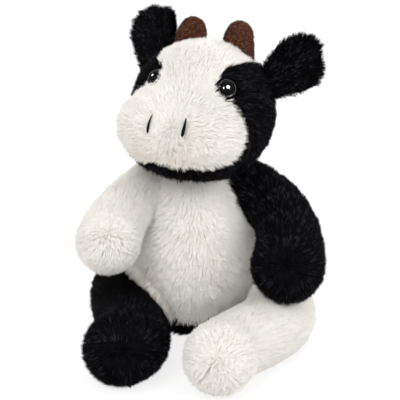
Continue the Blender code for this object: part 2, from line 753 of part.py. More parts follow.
LEG_ROOMS = [HIP_ROOM, FLOOR]
LEG_LEFT = on_floor(SIDES["left"], LEG_LEFT_ASIDE, LEG_LEFT_AHEAD, LEG_LEFT_RADII)
LEG_RIGHT = on_floor(SIDES["right"], LEG_RIGHT_ASIDE, LEG_RIGHT_AHEAD, LEG_RIGHT_RADII)
make_limb("arm_left", ARM_LEFT_ROUTE, ARM_RADII, BLACK_PILE, SHOULDERS["left"], arm_rooms("left"))
make_limb("arm_right", ARM_RIGHT_ROUTE, ARM_RADII, WHITE_PILE, SHOULDERS["right"], arm_rooms("right"))
make_limb("leg_left", LEG_LEFT, LEG_LEFT_RADII, WHITE_PILE, HIPS["left"], LEG_ROOMS)
make_limb("leg_right", LEG_RIGHT, LEG_RIGHT_RADII, BLACK_PILE, HIPS["right"], LEG_ROOMS)


# Tail
def make_tail():
    """A thin tail that hangs straight down behind the seat, with a tuft at its end."""
    share = TAIL_ROOT_HEIGHT / TORSO_HEIGHT
    behind = TORSO_LEAN * share + TORSO_DEPTH / 2 + SEAM_GAP + TAIL_ROOT_RADIUS
    joint = add_joint("tail_joint", (0.0, behind, TAIL_ROOT_HEIGHT))
    place = Matrix.Translation(Vector((0.0, behind, TAIL_ROOT_HEIGHT)))
    tail = [(0.0, TAIL_ROOT_RADIUS)]
    for angle in TAIL_ANGLES:
        tail.append((TAIL_ROOT_RADIUS * math.cos(angle), TAIL_ROOT_RADIUS * math.sin(angle)))
    tail += [(TAIL_RADIUS, -TAIL_LENGTH / 2), (TAIL_RADIUS, -TAIL_LENGTH), (0.0, -TAIL_LENGTH)]
    finish(add_object("tail", *lathe(tail, TAIL_SIDES), NECK_POINT, place), BLACK_PILE, joint)
    top = -TAIL_LENGTH - SEAM_GAP
    tuft = [(0.0, top), (TAIL_RADIUS, top)]
    for share in TUFT_RING_SHARES:
        radius = TUFT_RADIUS * math.sin(math.pi * share**TUFT_SKEW)
        tuft.append((radius, top - TUFT_LENGTH * share))
    tuft.append((0.0, top - TUFT_LENGTH))
    finish(add_object("tail_tuft", *lathe(tuft, TAIL_SIDES), NECK_POINT, place), BLACK_PILE, joint)


make_tail()
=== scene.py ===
"""The looks of a sitting plush cow: pile on every cover, glossy eyes, felt horns and stitched nostrils.

Metres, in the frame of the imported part: +Z up, the toy faces -Y, and its own left is +X.
"""

import copy
import json
import math

import bpy
import numpy as np
from mathutils import Matrix, Vector

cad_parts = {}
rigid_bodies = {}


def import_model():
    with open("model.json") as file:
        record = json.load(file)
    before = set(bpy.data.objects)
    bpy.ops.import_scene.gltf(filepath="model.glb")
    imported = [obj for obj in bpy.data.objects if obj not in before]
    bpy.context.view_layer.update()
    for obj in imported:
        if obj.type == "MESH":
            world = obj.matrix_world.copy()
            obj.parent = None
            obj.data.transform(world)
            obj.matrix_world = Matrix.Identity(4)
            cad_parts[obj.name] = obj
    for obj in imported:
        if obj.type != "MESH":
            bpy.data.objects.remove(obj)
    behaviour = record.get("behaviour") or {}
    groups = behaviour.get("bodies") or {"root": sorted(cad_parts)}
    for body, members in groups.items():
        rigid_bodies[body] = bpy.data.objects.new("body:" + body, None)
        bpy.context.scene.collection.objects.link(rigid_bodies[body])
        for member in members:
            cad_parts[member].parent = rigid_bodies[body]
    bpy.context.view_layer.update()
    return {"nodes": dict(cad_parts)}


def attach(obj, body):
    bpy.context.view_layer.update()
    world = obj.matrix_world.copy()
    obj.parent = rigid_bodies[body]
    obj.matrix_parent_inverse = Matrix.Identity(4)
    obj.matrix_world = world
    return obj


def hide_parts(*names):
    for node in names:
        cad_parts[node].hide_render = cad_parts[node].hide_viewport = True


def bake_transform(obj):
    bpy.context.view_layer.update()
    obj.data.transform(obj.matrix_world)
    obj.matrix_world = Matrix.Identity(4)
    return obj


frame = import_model()


def tenths(*points):
    """Points given in tenths of a millimetre, in metres."""
    return np.array(points) / 10000


# Torso, as the solids have it, with the roll and the fold at its right hip
TORSO_HEIGHT = 0.126
TORSO_WIDTH = 0.106
TORSO_DEPTH = 0.099
TORSO_LEAN = 0.007
TORSO_HEIGHT_SHARES = (0.0, 0.0, 0.05, 0.14, 0.26, 0.40, 0.54, 0.67, 0.79, 0.88, 0.95, 0.99, 1.0)
TORSO_GIRTH_SHARES = (0.0, 0.71, 0.84, 0.94, 1.0, 0.985, 0.90, 0.78, 0.65, 0.50, 0.33, 0.14, 0.0)
NECK_ROUND_SHARES = (0.5, 0.8)
BELLY_BOTTOM = 0.007
BELLY_SIDE_RISE = 0.012
BELLY_HANG = 0.0100
BELLY_SPREAD = 56
SEAT_TURN_HEIGHTS = (0.016, 0.005)
SIDE_SEAM_BACK = 0.006
BELLY_CREASE = tenths(
    (-361, -314, 527), (-319, -360, 473), (-264, -401, 418), (-210, -432, 350), (-156, -444, 259),
    (-123, -436, 164),
)
FOLD_DEPTH = 0.0026
FOLD_REACH = 0.0046
BELLY_ROLL = tenths(
    (-440, -235, 492), (-397, -295, 451), (-341, -352, 402), (-279, -400, 350), (-218, -424, 272),
    (-171, -428, 183),
)
ROLL_RISE = 0.0038
ROLL_REACH = 0.0060

# Head, in its own frame: +X its left, -Y its front, +Z its crown
CRANIUM = np.array((0.098, 0.090, 0.096))
MUZZLE = np.array((0.090, 0.052, 0.056))
MUZZLE_CENTRE = np.array((0.0, -0.034, -0.014))
HEAD_HUB = np.array((0.0, -0.012, -0.005))
HEAD_SINK = 0.0225
HEAD_PLACE = Vector((0.006, -0.002, TORSO_HEIGHT + CRANIUM[2] / 2 - HEAD_SINK))
HEAD_BLEND = 10
HEAD_FRAME = (
    Matrix.Translation(HEAD_PLACE)
    @ Matrix.Rotation(math.radians(-23), 4, "Z")
    @ Matrix.Rotation(math.radians(4), 4, "Y")
    @ Matrix.Rotation(math.radians(-14), 4, "X")
)

# Edge of the face's white, as places on the head: down its left side, under the chin and up its right
PANEL_EDGE = tenths(
    (0, 200, 450), (170, 140, 430), (285, 120, 360), (290, -32, 371), (259, -153, 367),
    (218, -234, 347), (203, -304, 292), (201, -330, 253), (192, -352, 228), (218, -356, 186),
    (272, -365, 150), (312, -334, 121), (350, -321, 72), (396, -322, 9), (427, -327, -40),
    (437, -349, -111), (420, -366, -186), (362, -386, -260), (275, -442, -308), (134, -489, -328),
    (-18, -507, -336), (-166, -460, -360), (-285, -400, -380), (-385, -350, -325), (-432, -330, -220),
    (-445, -300, -111), (-440, -280, -40), (-430, -250, 25), (-404, -236, 74), (-322, -315, 132),
    (-252, -365, 176), (-208, -358, 212), (-205, -337, 226), (-197, -330, 255), (-216, -310, 274),
    (-280, -241, 300), (-310, -150, 335), (-325, -32, 350), (-330, 170, 320), (-200, 230, 390),
)
FACE_OVERHANG = 0.0026
FACE_RAGGED = (0.0030, 0, 0.0030)
FACE_STRAYS = (0.45, 0.55)
FACE_STRAY_HEIGHTS = (0.004, -0.020)
CHEEK_FRINGE = tenths(
    (-190, -372, 205), (-188, -385, 180), (-195, -395, 155), (-230, -390, 125),
)
MUZZLE_RIDGE = tenths(
    (-214, -442, 97), (-128, -453, 119), (-31, -469, 123), (78, -475, 111), (186, -472, 79),
    (254, -473, 46), (303, -475, 4),
)
RIDGE_RISE = 0.0009
RIDGE_REACH = 0.0060
NOSE = (0.0, -0.0540, -0.0090)

# Eyes
EYE_PLACES = {"left": (0.0264, 0.0197), "right": (-0.0243, 0.0184)}
EYE_SINKS = {"left": 0.0008, "right": 0.0016}
EYE_RADIUS = 0.006
EYE_HEIGHT = 0.004
DOME_RADIUS = 0.0050
DOME_FOOT = 0.0012
DOME_RISE = EYE_HEIGHT - DOME_FOOT
GROOVE_HEIGHT = 0.0008
GROOVE_WIDTH = 0.0002
RIM_RADIUS = 0.00036
RIM_HEIGHT = 0.0011
RIM_UNDER = 0.0007
STEM_RADIUS = 0.002
STEM_LENGTH = 0.010
LASH_ASIDE = 0.0042
LASH_DOWN = 0.0042

# Highlights of each eye: how far aside and up on the dome, how wide and high the lamp, and its power
EYE_GLINTS = {
    "left": ((-0.0002, -0.0001, 0.27, 0.27, 60.0), (-0.0030, -0.0010, 0.12, 0.20, 24.0)),
    "right": ((0.0011, 0.0004, 0.10, 0.10, 9.0),),
}
GLINT_DISTANCE = 0.5

# Nostrils: the ends of each in the front view, how thick a thread is and how far the slit bows
NOSTRIL_ENDS = {1: ((0.0112, -0.0020), (0.0113, -0.0133)), -1: ((-0.0112, -0.0036), (-0.0119, -0.0154))}
NOSTRIL_WIDTHS = {1: 0.00050, -1: 0.00038}
NOSTRIL_BOWS = {1: 0.0003, -1: -0.0006}
NOSTRIL_LIFT = 0.0012
STITCH_DROP = 0.00010
STITCH_WAVE = 0.00005

# Horns
HORN_ASIDE = 0.0165
HORN_BACK = 0.004
HORN_WIDTH = 0.019
HORN_THICKNESS = 0.008
HORN_LENGTH = 0.0295
HORN_ROOT_DOWN = 0.012
HORN_LEAN = math.radians(-8)
HORN_SHIFTS = {"left": (0.0014, 0, -0.0006), "right": (-0.0006, 0, -0.0029)}
HORN_FLARES = {"left": (0.24, 0.08), "right": (0.36, 0.02)}
HORN_FLARE_TOP = 0.0240
HORN_FLARE_DEPTH = 0.012
HORN_SIDES = 72
HORN_LUMPS = ((0.0007, 31, 0.00045), (0.0022, 33, 0.0004))
FELT_TINTS = (
    ("felt_fibre_dark", (0.026, 0.0092, 0.0062)),
    ("felt_fibre_brown", (0.074, 0.026, 0.0164)),
    ("felt_fibre_light", (0.193, 0.082, 0.0515)),
)
FELT_SHARES = (0.38, 0.36, 0.26)
FIBRE_DENSITY = 6e6
FIBRE_LENGTHS = (0.0009, 0.0022)
FIBRE_HALF_WIDTH = 0.00019
FIBRE_LIFT = 0.00015

# Ears
EAR_SEATS = {"left": (0.0410, 0.0060, 0.0255), "right": (-0.0374, 0.0080, 0.0260)}
EAR_STAND = {"left": (0.69, 0.25, 0.67), "right": (-0.35, 0.32, 0.86)}
EAR_FRONT = {"left": (0.25, -0.95, 0.0), "right": (-0.30, -0.95, 0.0)}
EAR_AXIS_LIFT = 0.001
EAR_ROOT_DOWN = 0.006
EAR_LENGTHS = {"left": 0.0386, "right": 0.0378}
EAR_SKEWS = {"left": -0.0026, "right": -0.0034}
EAR_WIDTHS = {"left": 0.0350, "right": 0.0385}
EAR_CUP = 0.007
EAR_ROOT_SHARES = {"left": 0.50, "right": 0.88}
EAR_WIDEST_SHARE = 0.52
EAR_SQUARE = 2.5
EAR_THICKNESS = 0.0012
EAR_EDGE_SHARE = 0.93
EAR_TIP_SHARE = 0.965
EAR_CROWDING = 1.3
EAR_PARTING = 0.007
EAR_SPREAD = 30

# Limbs: routes from root to end, with the radii on the way
ARM_LEFT = tenths((265, 30, 985), (580, -220, 840), (610, -660, 650))
ARM_LEFT_RADII = (0.02, 0.0202, 0.0238)
ARM_RIGHT = tenths((-280, 20, 980), (-470, -260, 880), (-560, -580, 790))
ARM_RIGHT_RADII = (0.0175, 0.0195, 0.0215)
LEG_LEFT = tenths(
    (440, -40, 205), (578, -330, 200), (530, -620, 215), (332, -878, 225), (164, -1138, 236),
)
LEG_LEFT_RADII = (0.021, 0.024, 0.024, 0.0225, 0.0238)
LEG_RIGHT = tenths(
    (-485, -40, 225), (-505, -360, 225), (-408, -710, 218), (-463, -1030, 245),
)
LEG_RIGHT_RADII = (0.0222, 0.019, 0.023, 0.0235)

# Each limb: its route, its radii, the whorl at its end, its marks and how far off the torso its pile ends
LIMBS = {
    "arm_left": (ARM_LEFT, ARM_LEFT_RADII, (0.0580, -0.0872, 0.0745), (), -0.006),
    "arm_right": (
        ARM_RIGHT, ARM_RIGHT_RADII, (-0.0540, -0.0730, 0.0935), ("hand_hook", "arm_dimple"), -0.006,
    ),
    "leg_left": (
        LEG_LEFT, LEG_LEFT_RADII, (0.0140, -0.1345, 0.0350), ("leg_crease", "foot_parting"), -0.006,
    ),
    "leg_right": (
        LEG_RIGHT, LEG_RIGHT_RADII, (-0.0421, -0.1241, 0.0347),
        ("foot_ridge", "foot_groove", "right_thigh"), 0.001,
    ),
}
LIMB_BLEND_SHARES = (0.06, 0.42)

# Tail
TAIL_ROOT = np.array((0.0, 0.056522, 0.040))
TAIL_RADIUS = 0.0022
TAIL_INSIDE = 0.0035
TAIL_LENGTH = 0.018
TUFT_LENGTH = 0.016
TUFT_CORE_SHARE = 0.55
TUFT_RADII = (0.0016, 0.0016)

# Pile: its skin, the sizes of its locks and tufts, and what these do to a strand
SKIN_DEPTH = 0.0034
LOCK_SIZE = 0.0013
TUFT_SIZE = 0.0050
LOCK_PULL = 0.40
LENGTH_SHARES = (0.72, 0.24, 0.34)
TONE_SHARES = (0.12, 0.50, 0.38)
TONE_SPREAD = 0.25
LEAN_SHARES = (0.4, 0.6)
LIFT_ANGLE = math.radians(24)
SWIRL_ANGLES = (math.radians(80), math.radians(50), math.radians(7))
FLOOR_GAP = 0.0002
DENSITY = {"white": 6.0e6, "black": 4.6e6}
STRAND_WIDTHS = {"white": 0.00034, "black": 0.00038}
STRAND_ROLL = 0.6
UNDER_SHARE = 0.5
UNDER_LENGTH = 0.8
UNDER_WIDTH = 1.3
MOST_FACES = 190000
WHORL_REACH = 0.014
WHORL_COPIES = 2
COPY_SCATTER = 0.0003
SHADING = {"white": (0.78, 0.22, 0.24), "black": (0.55, 0.45, 0.50)}

# Each coat: its colour, its strands' length, their two leans in degrees, how far they stray, how much
# their colours differ (painted light and shade of the locks included) and how much they gather in locks
COATS = {
    "belly": ("white", 0.0084, (52, 72), 0.7, 0.9, 1.3),
    "back": ("black", 0.0064, (36, 62), 1.0, 1.0, 1.2),
    "face": ("white", 0.0056, (44, 62), 1.0, 0.55, 1.0),
    "head": ("black", 0.0064, (38, 62), 0.8, 1.0, 1.2),
    "arm_left": ("black", 0.0064, (38, 62), 0.7, 1.0, 1.3),
    "arm_right": ("white", 0.0056, (42, 62), 0.6, 0.8, 1.2),
    "leg_left": ("white", 0.0054, (42, 62), 0.5, 0.7, 1.1),
    "leg_right": ("black", 0.0066, (38, 62), 0.9, 1.0, 1.3),
    "ear": ("black", 0.0050, (40, 66), 0.9, 1.0, 0.8),
    "tail": ("black", 0.0042, (50, 74), 0.6, 1.0, 0.5),
    "tuft": ("black", 0.0075, (56, 86), 0.6, 1.0, 0.7),
}

# Marks that lie along lines or at spots: their points, the steps of the curve through them, if any, and
# what the pile does there. A mark's tone is painted light on ridges and rolls and painted shade in
# creases, grooves, partings, under the muzzle and on the right thigh
MARKS = {
    # painted shade: strands in the belly crease are darker
    "belly_crease": (BELLY_CREASE, 8, dict(bare=0.0003, reach=0.0028, length=0.6, sweep=0.85, tone=-0.6)),
    # painted light: strands on the belly roll are lighter
    "belly_roll": (BELLY_ROLL, 8, dict(reach=0.0046, tone=0.4)),
    "belly_middle": ((0.0, -0.045, 0.06), 0, dict(reach=0.2, tone=-0.1)),
    "seat_front": (
        tenths((-240, -300, 10), (-80, -360, 10), (80, -360, 10)),
        6, dict(reach=0.014, length=1.45, lean=1.3),
    ),
    "cheek_fringe": (CHEEK_FRINGE, 6, dict(reach=0.0036, length=1.15, lean=0.85)),
    # painted highlight: strands along the muzzle ridge are lighter
    "muzzle_ridge": (MUZZLE_RIDGE, 6, dict(reach=0.003, length=1.1, lean=0.75, tone=0.6)),
    # painted shade: the lower muzzle is darker, as under light from above
    "low_muzzle": (
        tenths((-120, -500, -300), (80, -500, -300)),
        0, dict(reach=0.024, length=1.12, tone=-0.75),
    ),
    "chin": (
        tenths(
            (-300, -300, -400), (-100, -420, -410), (150, -420, -410), (330, -280, -390),
        ),
        6, dict(reach=0.01, length=1.4),
    ),
    # painted shade: strands in this parting on the hand are darker
    "hand_hook": (
        tenths(
            (-496, -748, 906), (-478, -748, 893), (-471, -755, 875), (-478, -767, 852),
            (-493, -780, 830),
        ),
        6, dict(reach=0.0018, length=0.9, sweep=0.5, tone=-0.3),
    ),
    # painted shade: strands in the arm dimple are darker
    "arm_dimple": (
        tenths((-400, -415, 1010), (-396, -443, 992), (-390, -471, 975)),
        6, dict(reach=0.0026, length=0.7, sweep=0.8, tone=-0.5),
    ),
    # painted highlight: strands along this line on the white leg are lighter
    "leg_crease": (
        tenths(
            (304, -1208, 413), (365, -1074, 364), (431, -1004, 357), (485, -954, 360),
            (539, -892, 371),
        ),
        8, dict(reach=0.003, length=1.06, lean=0.7, tone=0.4),
    ),
    # painted shade: strands in the foot parting are a little darker
    "foot_parting": (
        tenths(
            (143, -1335, 370), (119, -1354, 326), (95, -1361, 282), (64, -1355, 231), (34, -1326, 165),
        ),
        8, dict(reach=0.0018, length=0.95, sweep=0.45, tone=-0.1),
    ),
    # painted highlight: strands on the foot ridge are lighter
    "foot_ridge": (
        tenths((-533, -1202, 388), (-440, -1225, 385), (-360, -1229, 361)),
        8, dict(reach=0.003, length=1.1, lean=0.5, tone=0.3),
    ),
    # painted shade: strands in the foot groove are darker
    "foot_groove": (
        tenths((-558, -1211, 331), (-530, -1250, 230), (-473, -1237, 121)),
        8, dict(bare=0.0004, reach=0.0032, length=0.75, sweep=0.9, tone=-0.3),
    ),
    # painted shade: the top of the right thigh, which catches the lamps, is darker
    "right_thigh": (tenths((-480, -500, 450)), 0, dict(reach=0.04, tone=-0.35)),
}

# Marks at places that are worked out
EYE_MARK = dict(bare=0.0050, reach=0.0085, length=0.5, lean=1.2, sweep=0.9)
# painted shade: the pile beside the nostril slits is darker
SLIT_MARK = dict(bare=0.0006, reach=0.0024, length=0.85, sweep=0.5, tone=-0.3)
LASH_MARK = dict(reach=0.0036, length=1.12, lean=1.1)
NOSE_MARK = dict(reach=0.016, length=0.9, lean=0.85, stray=1.2, clump=0.2)
WHORL_MARK = dict(reach=0.016, lean=0.85, stray=1.3, clump=0.1)

# Colours
# The tints run from dark to light. The darker ones serve as painted shade at strand roots, in the underpile
# and between locks; the black glint tint is a painted highlight on lit strands.
WHITE_TINTS = (
    ("white_pile_root", (0.903, 0.842, 0.762)),
    ("white_pile_warm", (0.934, 0.886, 0.818)),
    ("white_pile_cream", (0.953, 0.929, 0.886)),
    ("white_pile_bright", (0.965, 0.948, 0.917)),
)
BLACK_TINTS = (
    ("black_pile_root", (0.0008, 0.0008, 0.0009)),
    ("black_pile_deep", (0.0014, 0.0014, 0.0018)),
    ("black_pile_soft", (0.0040, 0.0040, 0.0054)),
    ("black_pile_glint", (0.0230, 0.0230, 0.0300)),
)
TIP_SHARES = {"white": (0.30, 0.62), "black": (0.46, 0.84)}
ROOT_SHARE = 0.3
GRAIN_SPAN = (0.36, 0.64)
GRAIN_DETAIL = 6.0

# Studio
CAMERA_TARGET = Vector((0.004, -0.045, 0.103))
CAMERA_DISTANCE = 0.80
CAMERA_ELEVATION = math.radians(21)
CAMERA_LENS = 110
LAMP_AIM = (0.0, -0.03, 0.10)
WORLD_LIGHT = 0.72
WORLD_TINT = (1.0, 0.980, 0.950, 1)
FLOOR_COLOUR = (0.85, 0.85, 0.85)
FLOOR_GLOW = 0.80
FLOOR_SHADE = (0.26, 0.26, 0.26, 1)
FLOOR_HALF = 3
LAMPS = {
    "key_lamp": ((-0.45, -0.95, 1.05), 0.7, 8.2),
    "fill_lamp": ((0.85, -0.75, 0.75), 0.8, 5.0),
    "front_lamp": ((0.05, -1.35, 0.40), 0.8, 1.8),
    "back_lamp": ((0.2, 0.9, 0.9), 0.7, 4.0),
}
BELLY_LAMPS = {
    "belly_lamp": ((0.10, -1.30, 0.50), 0.9, 1.9),
    "belly_side_lamp": ((0.80, -0.95, 0.10), 0.8, 1.5),
}

DRAWS = np.random.default_rng(20)


# Fields in space
def lattice(cells, seed):
    """A number from 0 to 1 for each whole-numbered cell."""
    mixed = cells[..., 0] * 73856093 ^ cells[..., 1] * 19349663 ^ cells[..., 2] * 83492791 ^ seed * 2654435
    mixed = (mixed ^ (mixed >> 13)) * 1274126177 & 0xFFFFFFFF
    mixed = (mixed ^ (mixed >> 16)) & 0xFFFF
    return mixed / 65535.0


def noise(points, size, seed):
    """Smooth value noise from 0 to 1."""
    scaled = points / size + seed * 7.13
    cells = np.floor(scaled).astype(np.int64)
    part = scaled - cells
    part = part * part * (3 - 2 * part)
    total = np.zeros(points.shape[:-1])
    for corner in range(8):
        step = np.array((corner & 1, corner >> 1 & 1, corner >> 2 & 1))
        weight = np.prod(np.where(step, part, 1 - part), axis=-1)
        total += weight * lattice(cells + step, seed)
    return total


def gradient(points, size, seed):
    """The noise's slope, per size."""
    nudge = size / 8
    slopes = []
    for axis in np.eye(3):
        ahead = noise(points + axis * nudge, size, seed)
        behind = noise(points - axis * nudge, size, seed)
        slopes.append((ahead - behind) / (2 * nudge) * size)
    return np.stack(slopes, axis=-1)


def unit(vectors):
    return vectors / np.maximum(np.linalg.norm(vectors, axis=-1, keepdims=True), 1e-12)


def smoothstep(low, high, values):
    share = np.clip((values - low) / (high - low), 0.0, 1.0)
    return share * share * (3 - 2 * share)


def turned(matrix, vectors):
    return vectors @ np.array(matrix.to_3x3()).T


def placed(matrix, points):
    return turned(matrix, points) + np.array(matrix.translation)


def curve_through(points, steps):
    """A smooth curve through points, with so many steps in each stretch."""
    points = np.array(points, float)
    ends = np.vstack((2 * points[0] - points[1], points, 2 * points[-1] - points[-2]))
    made = []
    for i in range(1, len(ends) - 2):
        before, first, second, after = ends[i - 1 : i + 3]
        for share in np.arange(steps) / steps:
            slope = (second - before) * share
            bend = (2 * before - 5 * first + 4 * second - after) * share**2
            twist = (3 * first - before - 3 * second + after) * share**3
            made.append(0.5 * (2 * first + slope + bend + twist))
    made.append(points[-1])
    return np.array(made)


def rings_along(line, radii, across, along, sides):
    """Round rings about the points of a line."""
    turns = np.arange(sides) / sides * math.tau
    ways = across[:, None] * np.cos(turns)[None, :, None] + along[:, None] * np.sin(turns)[None, :, None]
    return line[:, None] + radii[:, None, None] * ways


# Surfaces as points and triangles
def closed_surface(rings, start, end):
    """A surface round rings of equal counts, drawn to a point at both ends."""
    count, sides = rings.shape[:2]
    points = np.vstack((rings.reshape(-1, 3), [start], [end]))
    ring, side = np.meshgrid(np.arange(count - 1), np.arange(sides), indexing="ij")
    low = (ring * sides + side).ravel()
    low_next = (ring * sides + (side + 1) % sides).ravel()
    quads = np.stack((low, low_next, low_next + sides, low + sides), axis=1)
    around = np.arange(sides)
    after = (around + 1) % sides
    last = (count - 1) * sides
    first_cap = np.stack((after, around, np.full(sides, count * sides)), axis=1)
    last_cap = np.stack((last + around, last + after, np.full(sides, count * sides + 1)), axis=1)
    faces = np.vstack((quads[:, [0, 1, 2]], quads[:, [0, 2, 3]], first_cap, last_cap))
    a, b, c = (points[faces[:, k]] for k in range(3))
    if np.einsum("ij,ij->", a, np.cross(b, c)) < 0:
        faces = faces[:, ::-1]
    return points, faces


def vertex_normals(points, faces):
    a, b, c = (points[faces[:, k]] for k in range(3))
    flat = np.cross(b - a, c - a)
    total = np.zeros_like(points)
    for k in range(3):
        np.add.at(total, faces[:, k], flat)
    return unit(total)


def scatter(points, faces, density):
    """Even places on a surface, and the surface's normals there."""
    normals = vertex_normals(points, faces)
    a, b, c = (points[faces[:, k]] for k in range(3))
    areas = np.linalg.norm(np.cross(b - a, c - a), axis=1) / 2
    grown = np.cumsum(areas)
    count = int(grown[-1] * density)
    marks = (np.arange(count) + DRAWS.random(count)) / count * grown[-1]
    chosen = faces[np.minimum(np.searchsorted(grown, marks), len(faces) - 1)]
    first, second = DRAWS.random((2, count))
    over = first + second > 1
    first[over], second[over] = 1 - first[over], 1 - second[over]
    shares = np.stack((1 - first - second, first, second), axis=1)
    places = np.einsum("nk,nkj->nj", shares, points[chosen])
    return places, unit(np.einsum("nk,nkj->nj", shares, normals[chosen]))


def swollen(surface, line, rise, reach):
    """The surface pushed out along a line."""
    points, faces = surface
    out = vertex_normals(points, faces)
    line = curve_through(line, 10)
    far = np.linalg.norm(points[:, None] - line[None], axis=2).min(axis=1)
    return points + out * (rise * (1 - smoothstep(0, reach, far)))[:, None], faces


def torso_surface(grow, sides=160, steps=8):
    profile = curve_through(list(zip(TORSO_HEIGHT_SHARES, TORSO_GIRTH_SHARES)), steps)[1:-1]
    turns = np.arange(sides) / sides * math.tau
    heights, girths = profile[:, 0:1], np.maximum(profile[:, 1:2], 0.01)
    neck = smoothstep(*NECK_ROUND_SHARES, heights)
    depths = girths * (TORSO_DEPTH + neck * (TORSO_WIDTH - TORSO_DEPTH)) / 2
    widths = girths * TORSO_WIDTH / 2
    inner = np.minimum(girths / 0.3, 1) * grow
    rings = np.stack(
        (
            (widths + inner) * np.cos(turns),
            TORSO_LEAN * heights + (depths + inner) * np.sin(turns),
            np.broadcast_to(heights * (TORSO_HEIGHT + 2 * grow) - grow, (len(profile), sides)),
        ),
        axis=-1,
    )
    foot = np.array((0, 0, -grow))
    crown = np.array((0, TORSO_LEAN, TORSO_HEIGHT + grow))
    return closed_surface(rings, foot, crown)


def in_torso(points, grow=0.0):
    share = np.clip(points[:, 2] / TORSO_HEIGHT, 0, 1)
    girth = np.interp(share, TORSO_HEIGHT_SHARES[1:], TORSO_GIRTH_SHARES[1:])
    neck = smoothstep(*NECK_ROUND_SHARES, share)
    wide = np.maximum(girth * TORSO_WIDTH / 2 + grow, 1e-6)
    deep = np.maximum(girth * (TORSO_DEPTH + neck * (TORSO_WIDTH - TORSO_DEPTH)) / 2 + grow, 1e-6)
    inside = (points[:, 0] / wide) ** 2 + ((points[:, 1] - TORSO_LEAN * share) / deep) ** 2 < 1
    return inside & (points[:, 2] < TORSO_HEIGHT + grow)


def reach(ways, centre, halves):
    """How far rays from the hub of the head run inside an ellipsoid that holds the hub."""
    rays = ways / halves
    start = (HEAD_HUB - centre) / halves
    along = rays @ start
    square = (rays * rays).sum(-1)
    return (np.sqrt(along**2 - square * (start @ start - 1)) - along) / square


def head_reach(ways):
    cranium = reach(ways, np.zeros(3), CRANIUM / 2)
    muzzle = reach(ways, MUZZLE_CENTRE, MUZZLE / 2)
    longest = np.maximum(cranium, muzzle)
    mixed = (cranium / longest) ** HEAD_BLEND + (muzzle / longest) ** HEAD_BLEND
    return longest * mixed ** (1 / HEAD_BLEND)


def head_point(way, grow=0.0):
    way = unit(np.array(way, float))
    return HEAD_HUB + way * (head_reach(way) + grow)[..., None]


def head_surface(grow, sides=160, count=120):
    tilts = (np.arange(1, count + 1) / (count + 1) * math.pi)[:, None]
    turns = np.arange(sides) / sides * math.tau
    ways = np.stack(
        (
            np.sin(tilts) * np.cos(turns),
            -np.cos(tilts) * np.ones(sides),
            np.sin(tilts) * np.sin(turns),
        ),
        axis=-1,
    )
    nose, nape = (head_point((0, side, 0), grow) for side in (-1.0, 1.0))
    points, faces = closed_surface(head_point(ways, grow), nose, nape)
    return placed(HEAD_FRAME, points), faces


def in_head(points, grow=0.0):
    local = placed(HEAD_FRAME.inverted(), points) - HEAD_HUB
    far = np.linalg.norm(local, axis=-1)
    return far < head_reach(unit(local)) + grow


def face_point(aside, up):
    """The point on the front of the head at a place in its front view."""
    near, far = HEAD_HUB[1], HEAD_HUB[1] - CRANIUM[1]
    for _ in range(40):
        middle = (near + far) / 2
        arm = np.array((aside, middle, up)) - HEAD_HUB
        length = np.linalg.norm(arm)
        if length > head_reach(arm / length):
            far = middle
        else:
            near = middle
    return np.array((aside, near, up))


def face_normal(aside, up):
    step = 0.0005
    across = face_point(aside + step, up) - face_point(aside - step, up)
    upward = face_point(aside, up + step) - face_point(aside, up - step)
    return unit(np.cross(across, upward))


def frame_at(point, upward, ahead):
    """A frame in the head: Z along upward, -Y as near to ahead as it can be."""
    z_axis = Vector(upward).normalized()
    x_axis = Vector(ahead).cross(z_axis).normalized() * -1
    y_axis = z_axis.cross(x_axis)
    made = Matrix((x_axis, y_axis, z_axis)).transposed().to_4x4()
    made.translation = Vector(point)
    return HEAD_FRAME @ made


def front_view(ways):
    """Where directions from the hub lie on a round map of the head, with its nose at the middle."""
    tilt = np.arccos(np.clip(-ways[..., 1], -1, 1))
    return unit(ways[..., [0, 2]]) * tilt[..., None]


def inside(places, edge):
    """Whether flat places lie inside a closed edge."""
    found = np.zeros(len(places), bool)
    for (x_one, y_one), (x_two, y_two) in zip(edge, np.roll(edge, -1, axis=0)):
        crosses = (y_one > places[:, 1]) != (y_two > places[:, 1])
        rise = y_two - y_one if y_two != y_one else 1.0
        found ^= crosses & (places[:, 0] < x_one + (x_two - x_one) * (places[:, 1] - y_one) / rise)
    return found


PANEL_MAP = front_view(unit(np.array(PANEL_EDGE) - HEAD_HUB))


def on_panel(local):
    """Whether points of the head's frame lie on the white of the face."""
    return inside(front_view(unit(local - HEAD_HUB)), PANEL_MAP)


def through(points, share):
    """The polynomial that passes its points at even shares from 0 to 1."""
    knots = np.linspace(0, 1, len(points))
    total = 0.0
    for knot, point in zip(knots, np.array(points, float)):
        others = knots[knots != knot]
        weight = np.prod((share[..., None] - others) / (knot - others), axis=-1)
        total = total + np.multiply.outer(weight, point)
    return total


def limb_surface(route, radii, grow, sides=56, count=48):
    shares = np.linspace(0, 1, count)
    centres = through(route, shares)
    rounds = through(radii, shares) + grow
    caps = np.radians(np.arange(8, 90, 8))
    first_way = unit(centres[0] - centres[1])
    last_way = unit(centres[-1] - centres[-2])
    root = centres[0] + np.multiply.outer(np.sin(caps[::-1]) * rounds[0], first_way)
    tip = centres[-1] + np.multiply.outer(np.sin(caps) * rounds[-1], last_way)
    middles = np.vstack((root, centres, tip))
    sizes = np.concatenate((rounds[0] * np.cos(caps[::-1]), rounds, rounds[-1] * np.cos(caps)))
    ways = unit(np.gradient(middles, axis=0))
    across = unit(np.cross(ways, (0, 0, 1.0)))
    rings = rings_along(middles, sizes, across, np.cross(across, ways), sides)
    rings[..., 2] = np.maximum(rings[..., 2], -grow)
    return closed_surface(rings, centres[0] + first_way * rounds[0], centres[-1] + last_way * rounds[-1])


